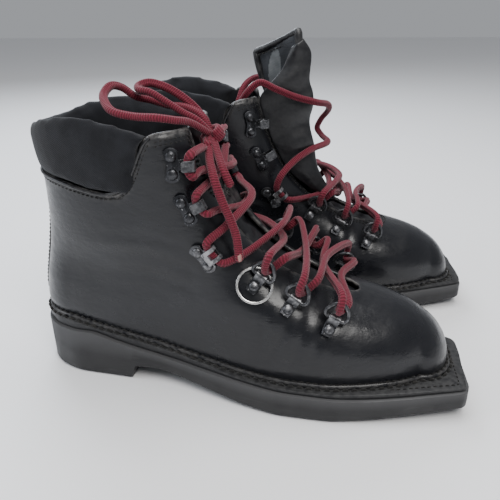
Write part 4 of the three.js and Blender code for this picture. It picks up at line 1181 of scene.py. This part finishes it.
def soles(side):
    """The rubber outsole with its pin holes, the midsole, and the welt with its bead and stitching."""
    points, faces = slab(tread_z, rim_z, 0, 0.7, 1.6)
    edge = np.abs(points[:, 2] - rim_z(points[:, 0])) < 1.0
    wear = np.where(edge, 0.85, 0.12)
    made = piece(side + "_outsole_rubber", points, faces, side, "rubber", side + "_boot",
                 [side + "_outsole"], wear=wear)
    cutters = []
    for x, y in PIN_HOLES:
        ring = circle(PIN_RADIUS, 20)
        cutters.append(closed_skin([[(x + a, y + b, z) for a, b in ring[::-1]] for z in (-1.0, 12.5)]))
    ring = circle(1.5, 16)
    cutters.append(closed_skin([[(301 + a, y, 11.5 + b) for a, b in ring] for y in (-48.0, -34.0)]))
    cut_points, cut_faces = gather(cutters)
    cutter = piece(side + "_cut", cut_points, cut_faces, side, "rubber", side + "_boot")
    settled(made, "BOOLEAN", operation="DIFFERENCE", object=cutter, solver="EXACT")
    bpy.data.objects.remove(cutter)
    smooth_by_angle(made)

    points, faces = slab(lambda x: rim_z(x) + 0.3, welt_top, 2.6, 0.9, 0.4)
    made = piece(side + "_welt", points, faces, side, "welt", side + "_boot", [side + "_midsole"],
                 wear=np.where(points[:, 2] > welt_top(points[:, 0]) - 1.1, 0.5, 0.1))
    smooth_by_angle(made)

    bead = foot_line(1.0, 1.2)
    bead_points, bead_faces = tube(np.vstack([bead, bead[:2]]), circle(1.9, 10))
    piece(side + "_welt_bead", bead_points, bead_faces, side, "leather", side + "_boot",
          wear=np.full(len(bead_points), 0.35))
    up = np.tile((0.0, 0.0, 1.0), (len(bead), 1))
    rows = [stitches(foot_line(3.9, 0.1), up, 4.6, 1.6, 0.95),
            stitches(foot_line(1.2, 2.9), up, 3.4, 1.5, 0.75)]
    bill = sole_line(7.0)
    bill = np.column_stack([bill, welt_top(bill[:, 0]) + 0.1])
    bill, = opened(bill[:, 0] > 268, bill)
    rows.append(stitches(bill, np.tile((0.0, 0.0, 1.0), (len(bill), 1)), 3.0, 1.2, 0.5, -0.1))
    points, faces = gather(rows)
    piece(side + "_welt_stitching", points, faces, side, "thread", side + "_boot")


def insole(side):
    """The footbed, dished a little along its middle."""
    rings = []
    for at in bunched(10, 300, 70):
        low = float(feather_z(at)) + 0.5
        a, b = (sign * max(3.0, 0.93 * float(plan_width(at, sign)) - 7.6) + float(middle_y(at))
                for sign in (-1, 1))
        rings.append([(at, a, low), (at, a, low + 3.2), (at, a + 1.2, low + 4),
                      (at, lerp(a, b, 0.5), low + 3.7), (at, b - 1.2, low + 4), (at, b, low + 3.2),
                      (at, b, low)])
    points, faces = closed_skin(rings)
    piece(side + "_footbed", points, faces, side, "board", side + "_boot", [side + "_insole"])


def smooth_by_angle(obj, angle=38):
    """Smooth shading except across sharp edges."""
    mesh = bmesh.new()
    mesh.from_mesh(obj.data)
    bmesh.ops.recalc_face_normals(mesh, faces=mesh.faces)
    for face in mesh.faces:
        face.smooth = True
    for edge in mesh.edges:
        edge.smooth = len(edge.link_faces) < 2 or edge.calc_face_angle(0) < math.radians(angle)
    mesh.to_mesh(obj.data)
    mesh.free()


# ---- Metal pieces -----------------------------------------------------------------------------------
HARDWARE_LIFT = 1.7
HARDWARE_TILT = math.radians(6)
RING_PLACES = [(176, 90, (0.53, 0.85)), (199, 77, (0.5, 0.87)), (226, 64.5, (0.42, 0.9))]
HOOK_PLACES = [(124, 170, (0.99, 0.05)), (131.5, 141, (0.9, 0.43)), (142, 108, (0.8, 0.6))]
BAR_AHEAD, BAR_UP = 8, 3.0
RING_TILT = math.radians(32)
WIRE = 1.4
HOOK_WIDTH, ANKLE_HOOK_WIDTH = 7, 10


def surface_frame(x, z, side, towards):
    """A frame on the upper's surface: x towards the throat, z out of the surface."""
    def place(px, pz):
        return np.array([px, float(middle_y(px)) + side * float(half_width(px, pz, side)), pz])

    step = 1.5
    here = place(x, z)
    out = unit(np.cross(place(x + step, z) - place(x - step, z), place(x, z + step) - place(x, z - step)))
    if out[1] * side < 0:
        out = -out
    ahead = np.array([towards[0], 0, towards[1]])
    ahead = unit(ahead - out * np.dot(ahead, out))
    across = np.cross(out, ahead)
    c, s = math.cos(HARDWARE_TILT), math.sin(HARDWARE_TILT)
    return np.column_stack([ahead * c + out * s, across, out * c - ahead * s]), here + out * HARDWARE_LIFT


def placed(points, place):
    turn, here = place
    return np.asarray(points, float) @ turn.T + here


def strip_of(line, width, thick, ease=0.0):
    """Sheet metal bent along a line in x and z."""
    line = np.asarray(line, float)
    ahead = headings(line)
    up = np.stack([-ahead[:, 1], ahead[:, 0]], -1) * thick / 2
    half = np.full(len(line), width / 2)
    half[0] -= ease
    half[-1] -= ease
    b = 0.25  # the bevel
    rings = []
    for (x, z), (ux, uz), h in zip(line, up, half):
        section = ((1, b - h), (0.4, -h), (-0.4, -h), (-1, b - h), (-1, h - b), (-0.4, h), (0.4, h), (1, h - b))
        rings.append([(x + k * ux, y, z + k * uz) for k, y in section])
    return closed_skin(rings)


RIVET = [(3.1, 0), (3.6, 0.15), (3.55, 0.6), (3.15, 1.15), (2.4, 1.65), (1.4, 1.98), (0.4, 2.08)]


def rivet(x, y, base):
    """A domed head turned from its profile of (radius, height)."""
    rings = [np.column_stack([circle(radius, 22), np.full(22, height)]) for radius, height in RIVET]
    points, faces = closed_skin(rings)
    return points + (x, y, base), faces


def arc(cx, cz, radius, start, end, count=12):
    turn = np.radians(np.linspace(start, end, count))
    return list(np.stack([cx + radius * np.cos(turn), cz + radius * np.sin(turn)], -1))


def clip_parts():
    """A strip folded round the ring's bar and held by one domed rivet."""
    radius = WIRE + 0.8
    low = [(x, 0.8) for x in (-5, -2, 2, 5)] + arc(BAR_AHEAD, BAR_UP, radius, -90, 140, 16)
    top = [(4.2, 2.6), (3.0, 2.05), (0, 2.0), (-4.8, 2.0)]
    return [strip_of(low + top, 8, 0.9, 0.8), rivet(0, 0, 2.3)]


def ring_parts():
    """The D of wire: a straight bar in the clip and a round bow towards the throat."""
    half = 6.6
    corners = [(0, -half + 1), (0, 0), (0, half - 1), (0.7, half + 0.5), (3, half + 1.2), (7, half - 0.2),
               (10.4, half - 3.6), (11.6, 0), (10.4, 3.6 - half), (7, 0.2 - half), (3, -1.2 - half),
               (0.7, -half - 0.5)]
    path = flow([(x, y, 0) for x, y in corners], 0.7, closed=True)[:-1]
    points, faces = tube(np.vstack([path, path[:1]]), circle(WIRE, 12))
    c, s = math.cos(RING_TILT), math.sin(RING_TILT)
    x, y, z = points.T
    return [(np.stack([BAR_AHEAD + x * c - z * s, y, BAR_UP + x * s + z * c], -1), faces)]


def hook_parts(width):
    """A two-lobed plate with a domed rivet in each lobe, and a strip that rises and turns back."""
    lobe, spread, inner = 5.4, 5.6, 3.3
    turn = np.radians(np.linspace(-151, -29, 14))
    low = np.stack([lobe * np.cos(turn), -spread + lobe * np.sin(turn)], -1)
    outline = np.concatenate([low, [(4.1, -2), (4.1, 2)], (low * (1, -1))[::-1],
                              [(-3.2, 1.6), (-3.0, 0), (-3.2, -1.6)]])
    rings = [np.column_stack([outline * s, np.full(len(outline), z)])
             for s, z in ((0.98, 0.3), (1, 0.45), (1, 1.15), (0.975, 1.3))]
    middle = 1.3 + inner
    line = [(x, 0.8) for x in (0.5, 3, 6)] + arc(10.5, middle, inner + 0.5, -90, 90, 18)
    line += [(8.4, middle + inner + 0.62), (6.6, middle + inner + 0.95), (5.4, middle + inner + 1.3)]
    parts = [closed_skin(rings), rivet(0, spread, 1.2), rivet(0, -spread, 1.2)]
    if width == ANKLE_HOOK_WIDTH:
        side = width * 0.3
        for y in (-1, 1):
            rail, faces = strip_of(line, side, 1.0, 0.3)
            parts.append((rail + (0, y * (width - side) / 2, 0), faces))
        parts.append(strip_of(line[-3:], width * 0.5, 1.0))
        parts.append(strip_of(line[:7], width * 0.5, 1.0))
    else:
        parts.append(strip_of(line, width, 1.0, 0.9))
    return parts


def fitting(node, parts, place, side, body, wear):
    """One metal piece in place of its CAD node; wear is a function of the height in its own frame."""
    points, faces = gather(parts)
    made = piece(node + "_metal", placed(points, place), faces, side, "hardware", body, [node],
                 wear=wear(points[:, 2]))
    smooth_by_angle(made, 42)


def metalwork(side):
    boot = side + "_boot"
    for word, sign in (("outer", -1), ("inner", 1)):
        for i, (x, z, towards) in enumerate(RING_PLACES, 1):
            place = surface_frame(x, z, sign, towards)
            fitting(f"{side}_{word}_clip_{i}", clip_parts(), place, side, boot,
                    lambda h: 0.65 * smooth(h, 2.6, 4.8))
            ring = f"{side}_{word}_d_ring_{i}"
            fitting(ring, ring_parts(), place, side, ring, lambda h: np.full(len(h), 0.65 * 0.35))
        for i, (x, z, towards) in enumerate(HOOK_PLACES, 1):
            width, rubbed, rest = (ANKLE_HOOK_WIDTH, 0.9, 0.25) if i == 3 else (HOOK_WIDTH, 0.35, 0)
            place = surface_frame(x, z, sign, towards)
            fitting(f"{side}_{word}_hook_{i}", hook_parts(width), place, side, boot,
                    lambda h: rubbed * smooth(h, 1.6, 6) + rest)


KEY_RING_RADIUS = 11.6


def key_ring():
    """A split ring: two turns of flattened wire that lie on each other."""
    section = ((0.85, 0.2), (0.85, -0.2), (0.6, -0.42), (-0.6, -0.42), (-0.85, -0.2), (-0.85, 0.2),
               (-0.6, 0.42), (0.6, 0.42))
    rings = []
    for turn in np.linspace(0, 4 * np.pi - 0.25, 150):
        out = np.array([math.cos(turn), math.sin(turn), 0])
        rise = 0.46 * math.tanh((turn - 2 * np.pi) * 1.6)
        rings.append([(KEY_RING_RADIUS + a) * out + (0, 0, rise + b) for a, b in section])
    points, faces = closed_skin(rings)
    x, z, towards = RING_PLACES[0]
    place = surface_frame(x, z, -1, towards)
    made = piece("right_split_ring", placed(points + (0.6, 0, 0.9), place), faces, "right", "steel",
                 "key_ring", ["right_key_ring"], wear=np.full(len(points), 0.3))
    smooth_by_angle(made, 50)


# ---- Everything on both boots ------------------------------------------------------------------------
for boot_side, throat_widen in (("right", 0), ("left", 4)):
    upper(boot_side, throat_widen)
    lining(boot_side, throat_widen)
    backstay(boot_side)
    collar(boot_side)
    soles(boot_side)
    insole(boot_side)
    metalwork(boot_side)
    for hidden, finish in (("shank", "steel"), ("heel_counter", "board"), ("toe_puff", "board")):
        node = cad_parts[f"{boot_side}_{hidden}"]
        node.data.materials.clear()
        node.data.materials.append(LOOKS[finish])
closed_tongue("right")
raised_tongue()
throat_base()
gusset()
key_ring()

# ---- Room -----------------------------------------------------------------------------------------
floor_look = Look("floor", 0.6)
floor_look.shader.inputs["Base Color"].default_value = (0.82, 0.82, 0.83, 1)
bpy.ops.mesh.primitive_plane_add(size=8, location=(0, 0, -0.0004))
floor = bpy.context.object
floor.name = "floor"
floor.data.materials.append(floor_look.material)

world = bpy.data.worlds.new("studio")
bpy.context.scene.world = world
world.use_nodes = True
world.node_tree.nodes["Background"].inputs["Color"].default_value = (0.92, 0.95, 1.0, 1)
world.node_tree.nodes["Background"].inputs["Strength"].default_value = 0.38


def lamp(name, place, aim, size, power, colour=(1, 1, 1)):
    made = bpy.data.objects.new(name, bpy.data.lights.new(name, "AREA"))
    bpy.context.scene.collection.objects.link(made)
    made.data.shape = "DISK"
    made.data.size = size
    made.data.energy = power
    made.data.color = colour
    made.location = place
    made.rotation_mode = "QUATERNION"
    made.rotation_quaternion = (Vector(aim) - Vector(place)).to_track_quat("-Z", "Y")


lamp("key", (0.35, -0.75, 1.15), (0, 0, 0.08), 0.7, 14, (1, 0.98, 0.95))
lamp("back", (-0.5, 0.9, 1.0), (0, 0, 0.1), 0.9, 16, (0.86, 0.92, 1))
lamp("left", (-1.1, -0.3, 0.7), (0, 0, 0.1), 0.8, 7, (0.9, 0.94, 1))
lamp("top", (0.1, 0.1, 1.5), (0, 0, 0), 1.0, 15)
